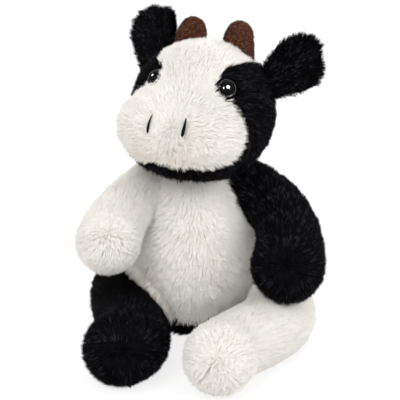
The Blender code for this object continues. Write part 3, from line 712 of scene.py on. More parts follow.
def in_limb(points, route, radii, grow=0.0):
    shares = np.linspace(0, 1, 24)
    centres, rounds = through(route, shares), through(radii, shares) + grow
    found = np.zeros(len(points), bool)
    for centre, radius in zip(centres, rounds):
        found |= np.linalg.norm(points - centre, axis=1) < radius
    return found


# Materials
def principled(name, colour, roughness, specular):
    made = bpy.data.materials.new(name)
    made.use_nodes = True
    shader = made.node_tree.nodes["Principled BSDF"]
    shader.inputs["Base Color"].default_value = (*colour, 1.0)
    shader.inputs["Roughness"].default_value = roughness
    shader.inputs["Specular IOR Level"].default_value = specular
    return made


def add_node(tree, kind, *links, **values):
    """A node with values by name, and with links to it: its input, the other node and that one's output."""
    node = tree.nodes.new(f"ShaderNode{kind}")
    for name, value in values.items():
        node.inputs[name.replace("_", " ")].default_value = value
    for target, source, output in links:
        tree.links.new(source.outputs[output], node.inputs[target])
    return node


def mottled(name, dark, light, scale, roughness, bump=0.3, depth=0.0004, specular=0.3):
    """A colour that wanders between two tones, with a grain of its own."""
    made = principled(name, light, roughness[0], specular)
    tree = made.node_tree
    shader = tree.nodes["Principled BSDF"]
    place = add_node(tree, "TexCoord")
    grain = add_node(tree, "TexNoise", ("Vector", place, "Object"), Scale=scale, Detail=GRAIN_DETAIL)
    ramp = add_node(tree, "ValToRGB", ("Fac", grain, "Fac"))
    for number, colour in enumerate((dark, light)):
        ramp.color_ramp.elements[number].position = GRAIN_SPAN[number]
        ramp.color_ramp.elements[number].color = (*colour, 1.0)
    rough = add_node(tree, "MapRange", ("Value", grain, "Fac"), To_Min=roughness[0], To_Max=roughness[1])
    bumps = add_node(tree, "Bump", ("Height", grain, "Fac"), Strength=bump, Distance=depth)
    tree.links.new(ramp.outputs["Color"], shader.inputs["Base Color"])
    tree.links.new(rough.outputs["Result"], shader.inputs["Roughness"])
    tree.links.new(bumps.outputs["Normal"], shader.inputs["Normal"])
    return made


LOOKS = {
    "white": [principled(name, tint, 0.9, 0.2) for name, tint in WHITE_TINTS],
    "black": [principled(name, tint, 0.6, 0.03) for name, tint in BLACK_TINTS],
}
# The white backing's beige, darker than the pile, stands partly for painted shade deep in the pile.
BACKINGS = {
    "white": mottled("white_backing", (0.84, 0.77, 0.68), (0.92, 0.88, 0.82), 260.0, (0.85, 1.0)),
    "black": mottled(
        "black_backing", (0.0012, 0.0012, 0.0014), (0.003, 0.003, 0.0034), 260.0, (0.7, 0.95), specular=0.05
    ),
}


# Pieces
def mesh_piece(name, points, faces, looks, indices=None, normals=None):
    mesh = bpy.data.meshes.new(name)
    mesh.vertices.add(len(points))
    mesh.vertices.foreach_set("co", points.astype(np.float32).ravel())
    mesh.loops.add(faces.size)
    mesh.loops.foreach_set("vertex_index", faces.astype(np.int32).ravel())
    mesh.polygons.add(len(faces))
    mesh.polygons.foreach_set("loop_start", np.arange(0, faces.size, 3, dtype=np.int32))
    for look in looks:
        mesh.materials.append(look)
    if indices is not None:
        mesh.polygons.foreach_set("material_index", indices.astype(np.int32))
    mesh.update(calc_edges=True)
    mesh.shade_smooth()
    if normals is not None:
        kept = mesh.attributes.new("custom_normal", "FLOAT_VECTOR", "POINT")
        kept.data.foreach_set("vector", normals.astype(np.float32).ravel())
    obj = bpy.data.objects.new(name, mesh)
    bpy.context.scene.collection.objects.link(obj)
    return obj


def fit(obj, slot, body, *nodes, fill=None):
    """Attaches a piece to the body it rides on and hides the nodes it stands for; its slot and fill are not
    used.
    """
    if body:
        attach(obj, body)
    if nodes:
        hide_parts(*nodes)
    return obj


class Mark:
    """A spot or line where the pile is barer, shorter, steeper, painted lighter or darker for the light and
    shade there, or swept away from it.
    """

    def __init__(
        self, points, bare=0.0, reach=0.003, length=1.0, lean=1.0, sweep=0.0, tone=0.0, stray=1.0, clump=1.0
    ):
        self.points = np.atleast_2d(points)
        self.bare, self.reach, self.stray, self.clump = bare, reach, stray, clump
        self.length, self.lean, self.sweep, self.tone = length, lean, sweep, tone

    def away(self, places):
        gaps = places[:, None] - self.points[None]
        far = np.linalg.norm(gaps, axis=2)
        nearest = far.argmin(axis=1)
        rows = np.arange(len(places))
        return gaps[rows, nearest], far[rows, nearest]


def mark(name, place=None):
    """The mark of this name, moved to the frame of what it lies on."""
    line, steps, settings = MARKS[name]
    points = curve_through(line, steps) if steps else np.array(line)
    return Mark(placed(place, points) if place else points, **settings)


class Coat:
    """The places of a region's strands, and which way and how steeply each lies."""

    def __init__(self, roots, normals, flow, marks, stray, contrast):
        keep = np.ones(len(roots), bool)
        for spot in marks:
            keep &= spot.away(roots + normals * SKIN_DEPTH)[1] >= spot.bare
        self.roots, self.normals = roots[keep], normals[keep]
        roots, normals, flow = roots[keep], normals[keep], flow[keep]
        stray = np.broadcast_to(stray, keep.shape)[keep]
        count = len(roots)
        crest = noise(roots, LOCK_SIZE, 11)
        even, by_tuft, by_lock = LENGTH_SHARES
        self.length = even + by_tuft * noise(roots, TUFT_SIZE * 0.7, 3) + by_lock * crest
        # Tone differs at random by tuft and by strand. By lock (crest) it is painted light on the crests of
        # locks and painted shade in the gaps between them.
        by_tuft, by_lock, by_strand = TONE_SHARES
        tone = by_tuft * noise(roots, TUFT_SIZE * 0.8, 13) + by_lock * crest
        tone += by_strand * DRAWS.random(count)
        self.tone = (tone - tone.mean()) / tone.std() * TONE_SPREAD * contrast + 0.5
        steep, gather = np.ones(count), np.ones(count)
        for spot in marks:
            gap, far = spot.away(roots + normals * SKIN_DEPTH)
            share = 1 - smoothstep(spot.bare, spot.reach, far)
            flow = flow * (1 - spot.sweep * share)[:, None] + unit(gap) * (spot.sweep * share)[:, None]
            self.length *= 1 + (spot.length - 1) * share
            steep *= 1 + (spot.lean - 1) * share
            # A mark's tone paints light or shade into the strands near it.
            self.tone = 0.5 + (self.tone - 0.5) * (1 + (spot.clump - 1) * share) + spot.tone * share
            gather *= 1 + (spot.clump - 1) * share
            stray = stray * (1 + (spot.stray - 1) * share)
        flow = flow - normals * (flow * normals).sum(1, keepdims=True)
        strength = np.linalg.norm(flow, axis=1)
        flow = unit(flow)
        self.steep = steep * (LEAN_SHARES[0] + LEAN_SHARES[1] * np.clip(strength * 1.4, 0, 1))
        self.lift = (noise(roots, TUFT_SIZE, 5) - 0.5) * LIFT_ANGLE * stray
        swirl = (noise(roots, TUFT_SIZE * 1.6, 7) - 0.5) * SWIRL_ANGLES[0] * stray
        swirl += (noise(roots, TUFT_SIZE * 0.55, 9) - 0.5) * SWIRL_ANGLES[1] * stray
        swirl += DRAWS.normal(0, SWIRL_ANGLES[2], count)
        side = np.cross(normals, flow)
        self.nap = flow * np.cos(swirl)[:, None] + side * np.sin(swirl)[:, None]
        pull = gradient(roots, LOCK_SIZE, 11)
        pull = pull - normals * (pull * normals).sum(1, keepdims=True)
        self.pull = pull * (LOCK_SIZE * LOCK_PULL * gather)[:, None]

    def ways(self, lean, wander):
        """Directions at so steep a lean from the surface."""
        angle = lean * self.steep + self.lift + DRAWS.normal(0, math.radians(wander), len(self.roots))
        return self.normals * np.cos(angle)[:, None] + self.nap * np.sin(angle)[:, None]

    def parts(self, count):
        """The coat cut into stretches of about as many strands each."""
        for rows in np.array_split(np.arange(len(self.roots)), count):
            part = copy.copy(self)
            for kind in ("roots", "normals", "length", "tone", "steep", "lift", "nap", "pull"):
                setattr(part, kind, getattr(self, kind)[rows])
            yield part

    def tints(self, colour):
        low, high = TIP_SHARES[colour]
        return (self.tone > low - ROOT_SHARE).astype(int) + (self.tone > low) + (self.tone > high)


def strand_piece(name, corners, shape, colour, indices, shading):
    """One mesh of many strands, from the corners of each and the triangles between them."""
    strands = np.stack(corners, axis=1)
    strands[..., 2] = np.maximum(strands[..., 2], FLOOR_GAP)
    count, size = strands.shape[:2]
    faces = (shape[None] + size * np.arange(count)[:, None, None]).reshape(-1, 3)
    obj = mesh_piece(name, strands.reshape(-1, 3), faces, LOOKS[colour], indices, shading.reshape(-1, 3))
    return obj


def pile(name, coat, colour, length, leans, width, clump):
    """Strands of pile, each a slim closed leaf that rises and then lies along the nap."""
    roots, normals = coat.roots, coat.normals
    count = len(roots)
    lengths = length * coat.length * DRAWS.uniform(0.86, 1.12, count)
    pull = coat.pull * clump * (lengths / length)[:, None]
    middle = roots + coat.ways(leans[0], 5) * (lengths * 0.5)[:, None] + pull * 0.35
    tip = middle + coat.ways(leans[1], 6) * (lengths * 0.5)[:, None] + pull
    way = unit(tip - roots)
    roll = DRAWS.uniform(-STRAND_ROLL, STRAND_ROLL, count)
    flat = unit(np.cross(way, normals))
    ridge = np.cross(flat, way)
    wide = flat * np.cos(roll)[:, None] + ridge * np.sin(roll)[:, None]
    ridge = np.cross(wide, way)
    half = (width / 2 * DRAWS.uniform(0.7, 1.25, count))[:, None]
    corners = (roots, middle - wide * half, middle + ridge * half * 0.8, middle + wide * half, tip)
    smooth, folded, sided = SHADING[colour]
    soft = normals * smooth + ridge * folded
    off = wide * sided
    shading = unit(np.stack((soft, soft - off, soft, soft + off, soft), axis=1))
    shape = np.array(((0, 3, 2), (0, 2, 1), (1, 2, 4), (2, 3, 4), (0, 1, 3), (4, 3, 1)))
    # painted shade: the root half of each strand takes the tint one step darker than its tip
    tips = coat.tints(colour)
    indices = np.maximum(tips - 1, 0)[:, None].repeat(6, axis=1)
    indices[:, [2, 3, 5]] = tips[:, None]
    return strand_piece(name, corners, shape, colour, indices.ravel(), shading)


def underpile(name, coat, colour, length, lean, width):
    """Short straight spikes between the long strands."""
    count = len(coat.roots)
    lengths = (length * coat.length * DRAWS.uniform(0.5, 1.0, count))[:, None]
    ways = coat.ways(lean, 14)
    side = unit(np.cross(ways, coat.nap))
    third = np.cross(ways, side)
    half = width / 2
    corners = [side * (half * math.cos(turn)) + third * (half * math.sin(turn)) for turn in (0.5, 2.6, 4.7)]
    corners = [coat.roots + corner for corner in corners] + [coat.roots + ways * lengths]
    shape = np.array(((0, 1, 3), (1, 2, 3), (2, 0, 3)))
    # painted shade: the short strands deep in the pile take the tint one step darker
    indices = np.maximum(coat.tints(colour) - 1, 0).repeat(3)
    shading = np.repeat(coat.normals[:, None], 4, axis=1)
    return strand_piece(name, corners, shape, colour, indices, shading)


def clothe(name, kind, roots, normals, flow, marks=(), stray=None):
    """A region's long strands, and the short ones between them."""
    colour, length, leans, even_stray, contrast, clump = COATS[kind]
    leans = np.radians(leans)
    width = STRAND_WIDTHS[colour]
    under = DRAWS.random(len(roots)) < UNDER_SHARE
    strays = np.broadcast_to(even_stray if stray is None else stray, under.shape)
    pieces = []
    for layer, chosen, faces_each in (("pile", ~under, 6), ("underpile", under, 3)):
        coat = Coat(roots[chosen], normals[chosen], flow[chosen], marks, strays[chosen], contrast)
        count = math.ceil(len(coat.roots) * faces_each / MOST_FACES)
        for number, part in enumerate(coat.parts(count), 1):
            label = f"{name}_{layer}" + (f"_{number}" if count > 1 else "")
            if layer == "pile":
                pieces.append(pile(label, part, colour, length, leans, width, clump))
            else:
                lean = (leans[0] + leans[1]) / 2
                shape = (length * UNDER_LENGTH, lean, width * UNDER_WIDTH)
                pieces.append(underpile(label, part, colour, *shape))
    return pieces


def thicker(centre, *rows):
    """The rows of a coat, its roots first, with more and more strands towards a whorl."""
    share = 1 - np.linalg.norm(rows[0] - centre, axis=1) / WHORL_REACH
    near = DRAWS.random(len(share)) < share
    made = [np.concatenate([row] + [row[near]] * WHORL_COPIES) for row in rows]
    made[0][len(near) :] += DRAWS.normal(0, COPY_SCATTER, (len(made[0]) - len(near), 3))
    return made


def thinned(kept):
    """The strands kept where black pile grows on places scattered for white."""
    return kept & (DRAWS.random(len(kept)) < DENSITY["black"] / DENSITY["white"])


def skin(name, surface, colour, body, nodes, fill):
    obj = mesh_piece(name, *surface, [BACKINGS[colour]])
    return fit(obj, f"{colour}_pile", body, *nodes, fill=fill)


def faces_where(surface, mask_of):
    """The part of a surface whose faces' middles pass a test."""
    points, faces = surface
    middles = points[faces].mean(axis=1)
    return points, faces[mask_of(middles)]


# Torso
def on_belly(points):
    low = BELLY_BOTTOM + BELLY_SIDE_RISE * (2 * points[:, 0] / TORSO_WIDTH) ** 2
    return (points[:, 1] < SIDE_SEAM_BACK) & (points[:, 2] > low)


def make_torso():
    surface = swollen(torso_surface(-SKIN_DEPTH), BELLY_ROLL, ROLL_RISE, ROLL_REACH)
    surface = swollen(surface, BELLY_CREASE, -FOLD_DEPTH, FOLD_REACH)
    skin("belly_backing", faces_where(surface, on_belly), "white", "torso", ("belly_panel",), 0.8)
    rest = faces_where(surface, lambda points: ~on_belly(points))
    skin("back_backing", rest, "black", "torso", ("back_panel", "torso_stuffing"), 0.8)
    roots, normals = scatter(*surface, DENSITY["white"])
    keep = ~in_head(roots, -0.006)
    for route, radii, *_ in LIMBS.values():
        keep &= ~in_limb(roots, route, radii, -0.005)
    roots, normals = roots[keep], normals[keep]
    white = on_belly(roots - (0, 0, BELLY_HANG))
    belly, out = roots[white], normals[white]
    spread = np.clip(belly[:, 2] / TORSO_HEIGHT, 0, 1)
    flow = (belly[:, 0] * BELLY_SPREAD * spread, np.zeros(len(belly)), np.full(len(belly), -1.0))
    marks = [mark(name) for name in ("belly_crease", "belly_roll", "belly_middle")]
    pieces = clothe("belly", "belly", belly, out, np.stack(flow, axis=1), marks)
    black = thinned(~white)
    back, out = roots[black], normals[black]
    low = smoothstep(*SEAT_TURN_HEIGHTS, back[:, 2])[:, None]
    flow = unit(back * (1, 1, 0)) * low + (0.0, 0.0, -1.0) * (1 - low)
    pieces += clothe("back", "back", back, out, flow, [mark("seat_front")])
    for piece in pieces:
        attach(piece, "torso")


def light_belly():
    """Soft lamps that only the belly shows, for the light that real pile passes on."""
    only = bpy.data.collections.new("belly_lamp")
    for piece in bpy.context.scene.objects:
        if piece.name.startswith("belly_"):
            only.objects.link(piece)
    for name, lamp in BELLY_LAMPS.items():
        add_lamp(name, *lamp).light_linking.receiver_collection = only


# Head
def nostril_line(sign, steps=9):
    top, bottom = NOSTRIL_ENDS[sign]
    line = []
    for share in np.linspace(0, 1, steps):
        aside = top[0] + (bottom[0] - top[0]) * share + NOSTRIL_BOWS[sign] * math.sin(math.pi * share)
        up = top[1] + (bottom[1] - top[1]) * share
        line.append(face_point(aside, up) + face_normal(aside, up) * NOSTRIL_LIFT)
    return np.array(line)


def head_marks():
    made = []
    for aside, up in EYE_PLACES.values():
        made.append(Mark(placed(HEAD_FRAME, face_point(aside, up)), **EYE_MARK))
    for sign in (1, -1):
        slit = placed(HEAD_FRAME, nostril_line(sign) + (0, NOSTRIL_LIFT, 0))
        made.append(Mark(slit, **SLIT_MARK))
    return made


def face_marks(marks, nose):
    """The marks of the white pile, which half covers the right eye."""
    sight = Mark(marks[1].points, EYE_RADIUS * 0.8, EYE_RADIUS * 0.81)
    made = [marks[0], sight, *marks[2:]]
    made += [mark(name, HEAD_FRAME) for name in ("cheek_fringe", "muzzle_ridge", "low_muzzle")]
    aside, up = EYE_PLACES["right"]
    lash = placed(HEAD_FRAME, face_point(aside + LASH_ASIDE, up - LASH_DOWN))
    return made + [Mark(lash, **LASH_MARK), Mark(nose, **NOSE_MARK)]


def make_head():
    ridge = placed(HEAD_FRAME, np.array(MUZZLE_RIDGE))
    surface = swollen(head_surface(-SKIN_DEPTH), ridge, RIDGE_RISE, RIDGE_REACH)
    to_local = HEAD_FRAME.inverted()

    def white_at(points):
        return on_panel(placed(to_local, points))

    skin("face_backing", faces_where(surface, white_at), "white", "head", ("face_panel",), 0.9)
    rest = faces_where(surface, lambda points: ~white_at(points))
    skin("head_backing", rest, "black", "head", ("head_cover", "head_stuffing"), 0.9)
    roots, normals = scatter(*surface, DENSITY["white"])
    keep = ~in_torso(roots, -0.006)
    roots, normals = roots[keep], normals[keep]
    local = placed(to_local, roots)
    nose = placed(HEAD_FRAME, np.array(NOSE))
    roots, normals, local = thicker(nose, roots, normals, local)
    radial = unit(roots - nose)
    over = turned(to_local, radial - normals * (radial * normals).sum(1, keepdims=True)) * FACE_OVERHANG
    ragged = (noise(local, 0.003, 21)[:, None] - 0.5) * FACE_RAGGED
    white = on_panel(local + over + ragged)
    marks = head_marks()
    face, out, low = roots[white], normals[white], local[white][:, 2]
    stray = FACE_STRAYS[0] + FACE_STRAYS[1] * smoothstep(*FACE_STRAY_HEIGHTS, low)
    fringe = mark("cheek_fringe", HEAD_FRAME)
    near = fringe.away(face + out * SKIN_DEPTH)[1] < fringe.reach
    extra = face[near] + DRAWS.normal(0, COPY_SCATTER, (near.sum(), 3))
    face, out = np.vstack((face, extra)), np.vstack((out, out[near]))
    flow = np.vstack((radial[white], radial[white][near]))
    stray = np.concatenate((stray, stray[near]))
    pieces = clothe("face", "face", face, out, flow, face_marks(marks, nose), stray)
    black = thinned(~white)
    flow = unit(radial[black] + (0, 0, -0.7))
    marks.append(mark("chin", HEAD_FRAME))
    pieces += clothe("head", "head", roots[black], normals[black], flow, marks)
    for piece in pieces:
        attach(piece, "head")


# Limbs
def make_limb(name, route, radii, whorl, mark_names, clear):
    colour = COATS[name][0]
    surface = limb_surface(route, radii, -SKIN_DEPTH)
    backing = skin(f"{name}_backing", surface, colour, None, (f"{name}_cover", f"{name}_stuffing"), 0.8)
    roots, normals = scatter(*surface, DENSITY[colour])
    keep = ~in_torso(roots, clear)
    roots, normals = thicker(np.array(whorl), roots[keep], normals[keep])
    flow = unit(roots - whorl)
    marks = [Mark(whorl, **WHORL_MARK)] + [mark(kind) for kind in mark_names]
    parts = clothe(name, name, roots, normals, flow, marks)
    start, end = through(route, np.array(LIMB_BLEND_SHARES))
    for part in (backing, *parts):
        tuple(start)
        tuple(end)
        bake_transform(part)


# Eyes
def lathe(profile, sides=64):
    """A surface turned round Z. The profile runs from tip to tip."""
    turns = np.arange(sides) / sides * math.tau
    rings = np.array(
        [
            np.stack((radius * np.cos(turns), radius * np.sin(turns), np.full(sides, height)), axis=1)
            for radius, height in profile[1:-1]
        ]
    )
    return closed_surface(rings, (0, 0, profile[0][1]), (0, 0, profile[-1][1]))


def eye_profiles():
    """The dome, and the flange behind it with its rolled rim and stem."""
    dome = [(0.0, EYE_HEIGHT)]
    for angle in np.radians(np.arange(4, 87, 4)):
        dome.append((DOME_RADIUS * math.sin(angle), DOME_FOOT + DOME_RISE * math.cos(angle)))
    dome += [(DOME_RADIUS, DOME_FOOT), (DOME_RADIUS, GROOVE_HEIGHT / 2), (0.0, GROOVE_HEIGHT / 2)]
    flange = [(0.0, GROOVE_HEIGHT), (DOME_RADIUS + GROOVE_WIDTH, GROOVE_HEIGHT)]
    for angle in np.radians(np.arange(150, -61, -15)):
        aside = EYE_RADIUS + RIM_RADIUS * (math.cos(angle) - 1)
        flange.append((aside, RIM_HEIGHT + RIM_RADIUS * math.sin(angle)))
    flange += [(EYE_RADIUS - RIM_UNDER, 0.0), (STEM_RADIUS, 0.0), (STEM_RADIUS, -STEM_LENGTH)]
    return dome, [*flange, (0.0, -STEM_LENGTH)]


def add_glint(name, eye, place, aside, up, wide, high, power):
    """A lamp that only the eye shows, as a spot so far aside and up from the middle of its dome."""
    height = math.sqrt(max(DOME_RADIUS**2 - aside**2 - up**2, 0)) * DOME_RISE / DOME_RADIUS
    point = Vector((aside, up, height + DOME_FOOT))
    normal = Vector((aside / DOME_RADIUS**2, up / DOME_RADIUS**2, height / DOME_RISE**2)).normalized()
    spot, normal = place @ point, (place.to_3x3() @ normal).normalized()
    sight = (bpy.context.scene.camera.location - spot).normalized()
    ray = 2 * normal.dot(sight) * normal - sight
    lamp = add_lamp(name, spot + ray * GLINT_DISTANCE, wide, power, spot)
    lamp.data.shape = "ELLIPSE"
    lamp.data.size_y = high
    lamp.visible_diffuse = False
    only = bpy.data.collections.new(name)
    only.objects.link(eye)
    lamp.light_linking.receiver_collection = only


def make_eyes():
    plastic = mottled(
        "black_plastic", (0.0012, 0.0014, 0.0014), (0.0026, 0.0030, 0.0029), 900.0, (0.02, 0.04),
        0.02, 0.00002, 0.05,
    )
    rim_plastic = mottled(
        "black_plastic_rim", (0.0030, 0.0034, 0.0034), (0.0055, 0.0062, 0.0060), 900.0, (0.2, 0.26),
        0.02, 0.00002, 0.5,
    )
    for side_name, (aside, up) in EYE_PLACES.items():
        normal = face_normal(aside, up)
        place = frame_at(face_point(aside, up) - normal * EYE_SINKS[side_name], normal, (0, 0, -1))
        pieces = []
        for kind, look, profile in zip(("dome", "rim"), (plastic, rim_plastic), eye_profiles()):
            points, faces = lathe(profile)
            piece = mesh_piece(f"eye_{side_name}_{kind}", placed(place, points), faces, [look])
            piece.data.set_sharp_from_angle(angle=math.radians(60))
            pieces.append(fit(piece, "black_plastic", "head"))
        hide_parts(f"eye_{side_name}")
        for number, glint in enumerate(EYE_GLINTS[side_name], 1):
            add_glint(f"{side_name}_glint_{number}", pieces[0], place, *glint)


# Nostrils
def tube(line, radii, sides=8):
    ways = unit(np.gradient(line, axis=0))
    across = unit(np.cross(ways, (0.0, 1.0, 0.02)))
    rings = rings_along(line, radii, across, np.cross(across, ways), sides)
    return closed_surface(rings, line[0], line[-1])


def joined(surfaces):
    points, faces, total = [], [], 0
    for part_points, part_faces in surfaces:
        points.append(part_points)
        faces.append(part_faces + total)
        total += len(part_points)
    return np.vstack(points), np.vstack(faces)


def make_nostrils():
    """A slit of satin stitch: threads laid side by side that meet at both ends."""
    thread = mottled(
        "black_thread", (0.0015, 0.0015, 0.0015), (0.007, 0.0065, 0.0065), 1500.0, (0.6, 0.8),
        0.3, 0.0001, 0.08,
    )
    for side_name, sign in (("left", 1), ("right", -1)):
        line = curve_through(nostril_line(sign), 4)
        shares = np.linspace(0, 1, len(line))
        belly = shares**0.5 * np.sqrt(1 - shares**6)
        surfaces = []
        for row in range(-2, 3):
            aside = row * NOSTRIL_WIDTHS[sign] * belly
            lift = -STITCH_DROP * row**2 + STITCH_WAVE * np.sin(shares * 40 + row)
            path = line + np.stack((aside, -lift, 0 * aside), axis=1)
            surfaces.append(tube(path, NOSTRIL_WIDTHS[sign] * np.maximum(belly, 0.3)))
        points, faces = joined(surfaces)
        obj = mesh_piece(f"nostril_{side_name}_stitch", placed(HEAD_FRAME, points), faces, [thread])
        fit(obj, "black_thread", "head", f"nostril_{side_name}")


# Horns
def horn_surface(side_name):
    """A flat felt tab with a round top and a flared foot, in its own frame."""
    half = HORN_WIDTH / 2
    straight = HORN_LENGTH - half
    bends = np.radians(np.arange(6, 88, 6))
    heights = np.concatenate((np.linspace(0, straight, 20), straight + half * np.sin(bends)))
    shares = np.concatenate((np.ones(20), np.cos(bends)))
    turns = np.arange(HORN_SIDES) / HORN_SIDES * math.tau
    bulge = np.abs(np.sin(turns)) ** 1.15 * np.sign(np.sin(turns))
    below = np.clip(HORN_FLARE_TOP - heights, 0, HORN_FLARE_DEPTH)[:, None]
    outer, inner = HORN_FLARES[side_name]
    flare = np.where(np.cos(turns) < 0, -outer, inner) * np.abs(np.cos(turns)) ** 0.7 * below
    rings = np.stack(
        (
            half * shares[:, None] * np.cos(turns) + flare,
            HORN_THICKNESS / 2 * np.sqrt(shares)[:, None] * bulge,
            np.broadcast_to(heights[:, None], (len(heights), HORN_SIDES)),
        ),
        axis=-1,
    )
    points, faces = closed_surface(rings, (0, 0, 0), (0, 0, HORN_LENGTH))
    out = vertex_normals(points, faces)
    for size, seed, depth in HORN_LUMPS:
        points = points + out * ((noise(points, size, seed) - 0.5) * depth)[:, None]
    return points, faces


def add_fuzz(name, points, faces, looks):
    """Short single fibres that stand off the felt."""
    roots, out = scatter(points, faces, FIBRE_DENSITY)
    keep = ~in_head(roots, -0.001)
    roots, out = roots[keep], out[keep]
    count = len(roots)
    way = unit(DRAWS.normal(0, 1, (count, 3)))
    way = unit(way - out * (way * out).sum(1, keepdims=True) * 0.75 + out * 0.25)
    wide = unit(np.cross(way, out)) * FIBRE_HALF_WIDTH
    length = DRAWS.uniform(*FIBRE_LENGTHS, count)[:, None]
    fibres = np.stack((roots - wide, roots + wide, roots + way * length + out * FIBRE_LIFT), axis=1)
    tints = DRAWS.choice(3, count, p=FELT_SHARES)
    shading = np.repeat(out[:, None], 3, axis=1).reshape(-1, 3)
    corners = np.arange(3 * count).reshape(-1, 3)
    fit(mesh_piece(name, fibres.reshape(-1, 3), corners, looks, tints, shading), "brown_felt", "head")


def make_horns():
    felt = mottled(
        "brown_felt", (0.037, 0.0126, 0.0078), (0.124, 0.0437, 0.0265), 700.0, (0.9, 1.0), 0.9, 0.0008, 0.1
    )
    fuzz_looks = [principled(name, tint, 0.95, 0.1) for name, tint in FELT_TINTS]
    for side_name, sign in (("left", 1), ("right", -1)):
        root = head_point(np.array((sign * HORN_ASIDE, HORN_BACK, CRANIUM[2] / 2)) - HEAD_HUB)
        upward = np.array((math.sin(HORN_LEAN), 0.0, math.cos(HORN_LEAN)))
        place = frame_at(root - upward * HORN_ROOT_DOWN + HORN_SHIFTS[side_name], upward, (0, -1, 0))
        points, faces = horn_surface(side_name)
        points = placed(place, points)
        obj = mesh_piece(f"horn_{side_name}_felt", points, faces, [felt])
        fit(obj, "brown_felt", "head", f"horn_{side_name}")
        add_fuzz(f"horn_{side_name}_fuzz", points, faces, fuzz_looks)


# Ears
def ear_middle(along, across, side_name):
    """The middle surface of an ear, in its own frame."""
    rise = np.sin(math.pi / 2 * np.clip(along / EAR_WIDEST_SHARE, 0, 1))
    beyond = np.clip((along - EAR_WIDEST_SHARE) / (1 - EAR_WIDEST_SHARE), 0, 1)
    low = EAR_ROOT_SHARES[side_name] + (1 - EAR_ROOT_SHARES[side_name]) * rise
    high = np.maximum(1 - beyond**EAR_SQUARE, 0.0004) ** (1 / EAR_SQUARE)
    spread = np.where(along < EAR_WIDEST_SHARE, low, high)
    curl = EAR_CUP * (across * spread) ** 2 * np.sin(math.pi / 2 * np.clip(2 * along, 0, 1))
    height = np.where(along > 0, along * EAR_LENGTHS[side_name], 0)
    height = height - EAR_ROOT_DOWN * (1 - np.clip(along * 5, 0, 1))
    height = height + EAR_SKEWS[side_name] * across * along
    return np.stack((across * spread * EAR_WIDTHS[side_name] / 2, -curl, height), axis=-1)


def ear_sheet(side_name, side, rows=40, columns=28):
    """One side of an ear's leaf: its lining at -1 or its back at +1."""
    along = (1 - (1 - np.linspace(0, 1, rows)) ** 1.5)[:, None] * np.ones(columns)
    across = np.linspace(-1, 1, columns)[None] * np.ones((rows, 1))
    points = ear_middle(along, across * EAR_EDGE_SHARE, side_name)
    edge = np.sqrt(np.clip(1 - across**4, 0, 1)) * np.sqrt(np.clip(1 - along**6, 0, 1))
    points[..., 1] += side * EAR_THICKNESS * edge
    points[..., 2] *= np.where(along > 0.5, EAR_TIP_SHARE, 1)
    row, column = np.meshgrid(np.arange(rows - 1), np.arange(columns - 1), indexing="ij")
    low = (row * columns + column).ravel()
    high = low + columns
    faces = np.vstack((np.stack((low, low + 1, high + 1), axis=1), np.stack((low, high + 1, high), axis=1)))
    return points.reshape(-1, 3), faces if side < 0 else faces[:, ::-1]


def make_ears():
    for side_name in ("left", "right"):
        seat = head_point(np.array(EAR_SEATS[side_name]) - HEAD_HUB)
        root = seat + unit(seat - HEAD_HUB) * EAR_AXIS_LIFT
        place = frame_at(root, EAR_STAND[side_name], EAR_FRONT[side_name])
        body = f"ear_{side_name}"
        for layer, side in (("lining", -1), ("back", 1)):
            name = f"{body}_{layer}"
            points, faces = ear_sheet(side_name, side)
            points = placed(place, points)
            backing = mesh_piece(f"{name}_cloth", points, faces, [BACKINGS["black"]])
            fit(backing, "black_pile", body, name, fill=0.3)
            roots, normals = scatter(points, faces, DENSITY["black"] * EAR_CROWDING)
            keep = ~in_head(roots, -0.002)
            roots, normals = roots[keep], normals[keep]
            aside = placed(place.inverted(), roots)[:, 0]
            away = np.tanh(aside / EAR_PARTING) * 0.7 + aside * EAR_SPREAD
            flow = turned(place, np.stack((away, 0 * aside, 1 + 0 * aside), axis=1))
            for part in clothe(name, "ear", roots, normals, unit(flow)):
                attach(part, body)


# Tail
def tail_stretch(name, heights, radii, tips, node, fill, crowding):
    """A stretch of the tail: its core, round about a line that hangs from the root, and its pile."""
    line = np.stack((0 * heights, 0 * heights, heights), axis=1) + TAIL_ROOT
    turns = np.arange(20) / 20 * math.tau
    round_ways = np.stack((np.cos(turns), np.sin(turns), 0 * turns), axis=1)
    rings = line[:, None] + radii[:, None, None] * round_ways[None]
    surface = closed_surface(rings, line[0] + (0, 0, tips[0]), line[-1] - (0, 0, tips[1]))
    core = mesh_piece(f"{name}_cloth", *surface, [BACKINGS["black"]])
    fit(core, "black_pile", "tail", node, fill=fill)
    roots, normals = scatter(*surface, DENSITY["black"] * crowding)
    flow = np.tile((0.0, 0.0, -1.0), (len(roots), 1))
    for part in clothe(name, name, roots, normals, flow):
        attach(part, "tail")


def make_tail():
    heights = np.linspace(TAIL_INSIDE, -TAIL_LENGTH, 30)
    tail_stretch("tail", heights, np.full(30, TAIL_RADIUS), (0.0008, 0.0008), "tail", 0.6, 2)
    heights = np.linspace(-TAIL_LENGTH, -TAIL_LENGTH - TUFT_LENGTH * TUFT_CORE_SHARE, 12)
    swell = TUFT_RADII[0] + TUFT_RADII[1] * np.sin(np.linspace(0.3, math.pi, 12))
    tail_stretch("tuft", heights, swell, (0.0006, 0.001), "tail_tuft", 0.4, 5)


# The pieces that stay as the solids have them
def dress_washers():
    look = mottled("washer_plastic", (0.66, 0.65, 0.60), (0.76, 0.75, 0.71), 300.0, (0.4, 0.6), 0.1, 0.0001)
    for side_name in ("left", "right"):
        node = frame["nodes"][f"eye_washer_{side_name}"]
        if not node.data.materials:
            node.data.materials.append(look)
        for slot in node.material_slots:
            slot.material = look


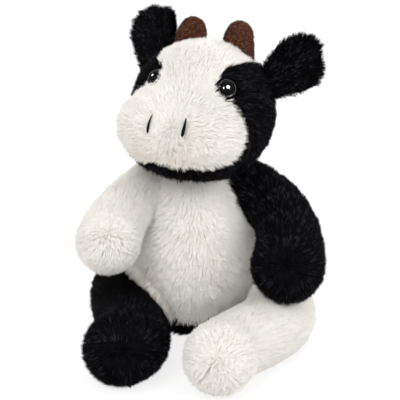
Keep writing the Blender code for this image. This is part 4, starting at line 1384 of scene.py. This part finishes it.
# Studio
def make_camera():
    data = bpy.data.cameras.new("camera")
    data.lens = CAMERA_LENS
    data.sensor_width = 36
    data.clip_start = 0.05
    camera = bpy.data.objects.new("camera", data)
    back = Vector((0, -math.cos(CAMERA_ELEVATION), math.sin(CAMERA_ELEVATION)))
    camera.location = CAMERA_TARGET + back * CAMERA_DISTANCE
    camera.rotation_mode = "QUATERNION"
    camera.rotation_quaternion = (-back).to_track_quat("-Z", "Y")
    bpy.context.scene.collection.objects.link(camera)
    bpy.context.scene.camera = camera


def add_lamp(name, place, size, power, aim=LAMP_AIM):
    data = bpy.data.lights.new(name, "AREA")
    data.shape = "SQUARE"
    data.size = size
    data.energy = power
    lamp = bpy.data.objects.new(name, data)
    lamp.location = place
    lamp.rotation_mode = "QUATERNION"
    lamp.rotation_quaternion = (Vector(place) - Vector(aim)).to_track_quat("Z", "Y")
    bpy.context.scene.collection.objects.link(lamp)
    return lamp


def make_world():
    """Soft light from all round, which looks white to the camera and in reflections."""
    world = bpy.data.worlds.new("studio")
    world.use_nodes = True
    tree = world.node_tree
    shown = tree.nodes["Background"]
    shown.inputs["Color"].default_value = (1, 1, 1, 1)
    shown.inputs["Strength"].default_value = 1.0
    soft = add_node(tree, "Background", Color=WORLD_TINT, Strength=WORLD_LIGHT)
    path = add_node(tree, "LightPath")
    seen = add_node(tree, "Math", (0, path, "Is Camera Ray"), (1, path, "Is Glossy Ray"))
    any_seen = add_node(tree, "Math", (0, seen, "Value"), (1, path, "Is Transmission Ray"))
    seen.operation = any_seen.operation = "MAXIMUM"
    ways = (("Fac", any_seen, "Value"), (1, soft, "Background"), (2, shown, "Background"))
    mix = add_node(tree, "MixShader", *ways)
    tree.links.new(mix.outputs["Shader"], tree.nodes["World Output"].inputs["Surface"])
    bpy.context.scene.world = world


def make_floor():
    """A pale floor. The camera sees it white, with the toy's shadow on it."""
    look = principled("floor", FLOOR_COLOUR, 0.9, 0.1)
    tree = look.node_tree
    glow = add_node(tree, "Emission", Strength=FLOOR_GLOW)
    matt = add_node(tree, "BsdfDiffuse", Color=FLOOR_SHADE)
    both = add_node(tree, "AddShader", (0, glow, "Emission"), (1, matt, "BSDF"))
    path = add_node(tree, "LightPath")
    plain = tree.nodes["Principled BSDF"]
    ways = (("Fac", path, "Is Camera Ray"), (1, plain, "BSDF"), (2, both, "Shader"))
    mix = add_node(tree, "MixShader", *ways)
    tree.links.new(mix.outputs["Shader"], tree.nodes["Material Output"].inputs["Surface"])
    corners = np.array(((-1, -1, 0), (1, -1, 0), (1, 1, 0), (-1, 1, 0)), float) * FLOOR_HALF
    mesh_piece("floor", corners, np.array(((0, 1, 2), (0, 2, 3))), [look])


make_camera()
make_world()
make_floor()
for lamp_name, lamp_values in LAMPS.items():
    add_lamp(lamp_name, *lamp_values)
make_torso()
light_belly()
make_head()
for limb_name, limb_values in LIMBS.items():
    make_limb(limb_name, *limb_values)
make_eyes()
make_nostrils()
make_horns()
make_ears()
make_tail()
dress_washers()

bpy.context.scene.view_settings.view_transform = "Standard"
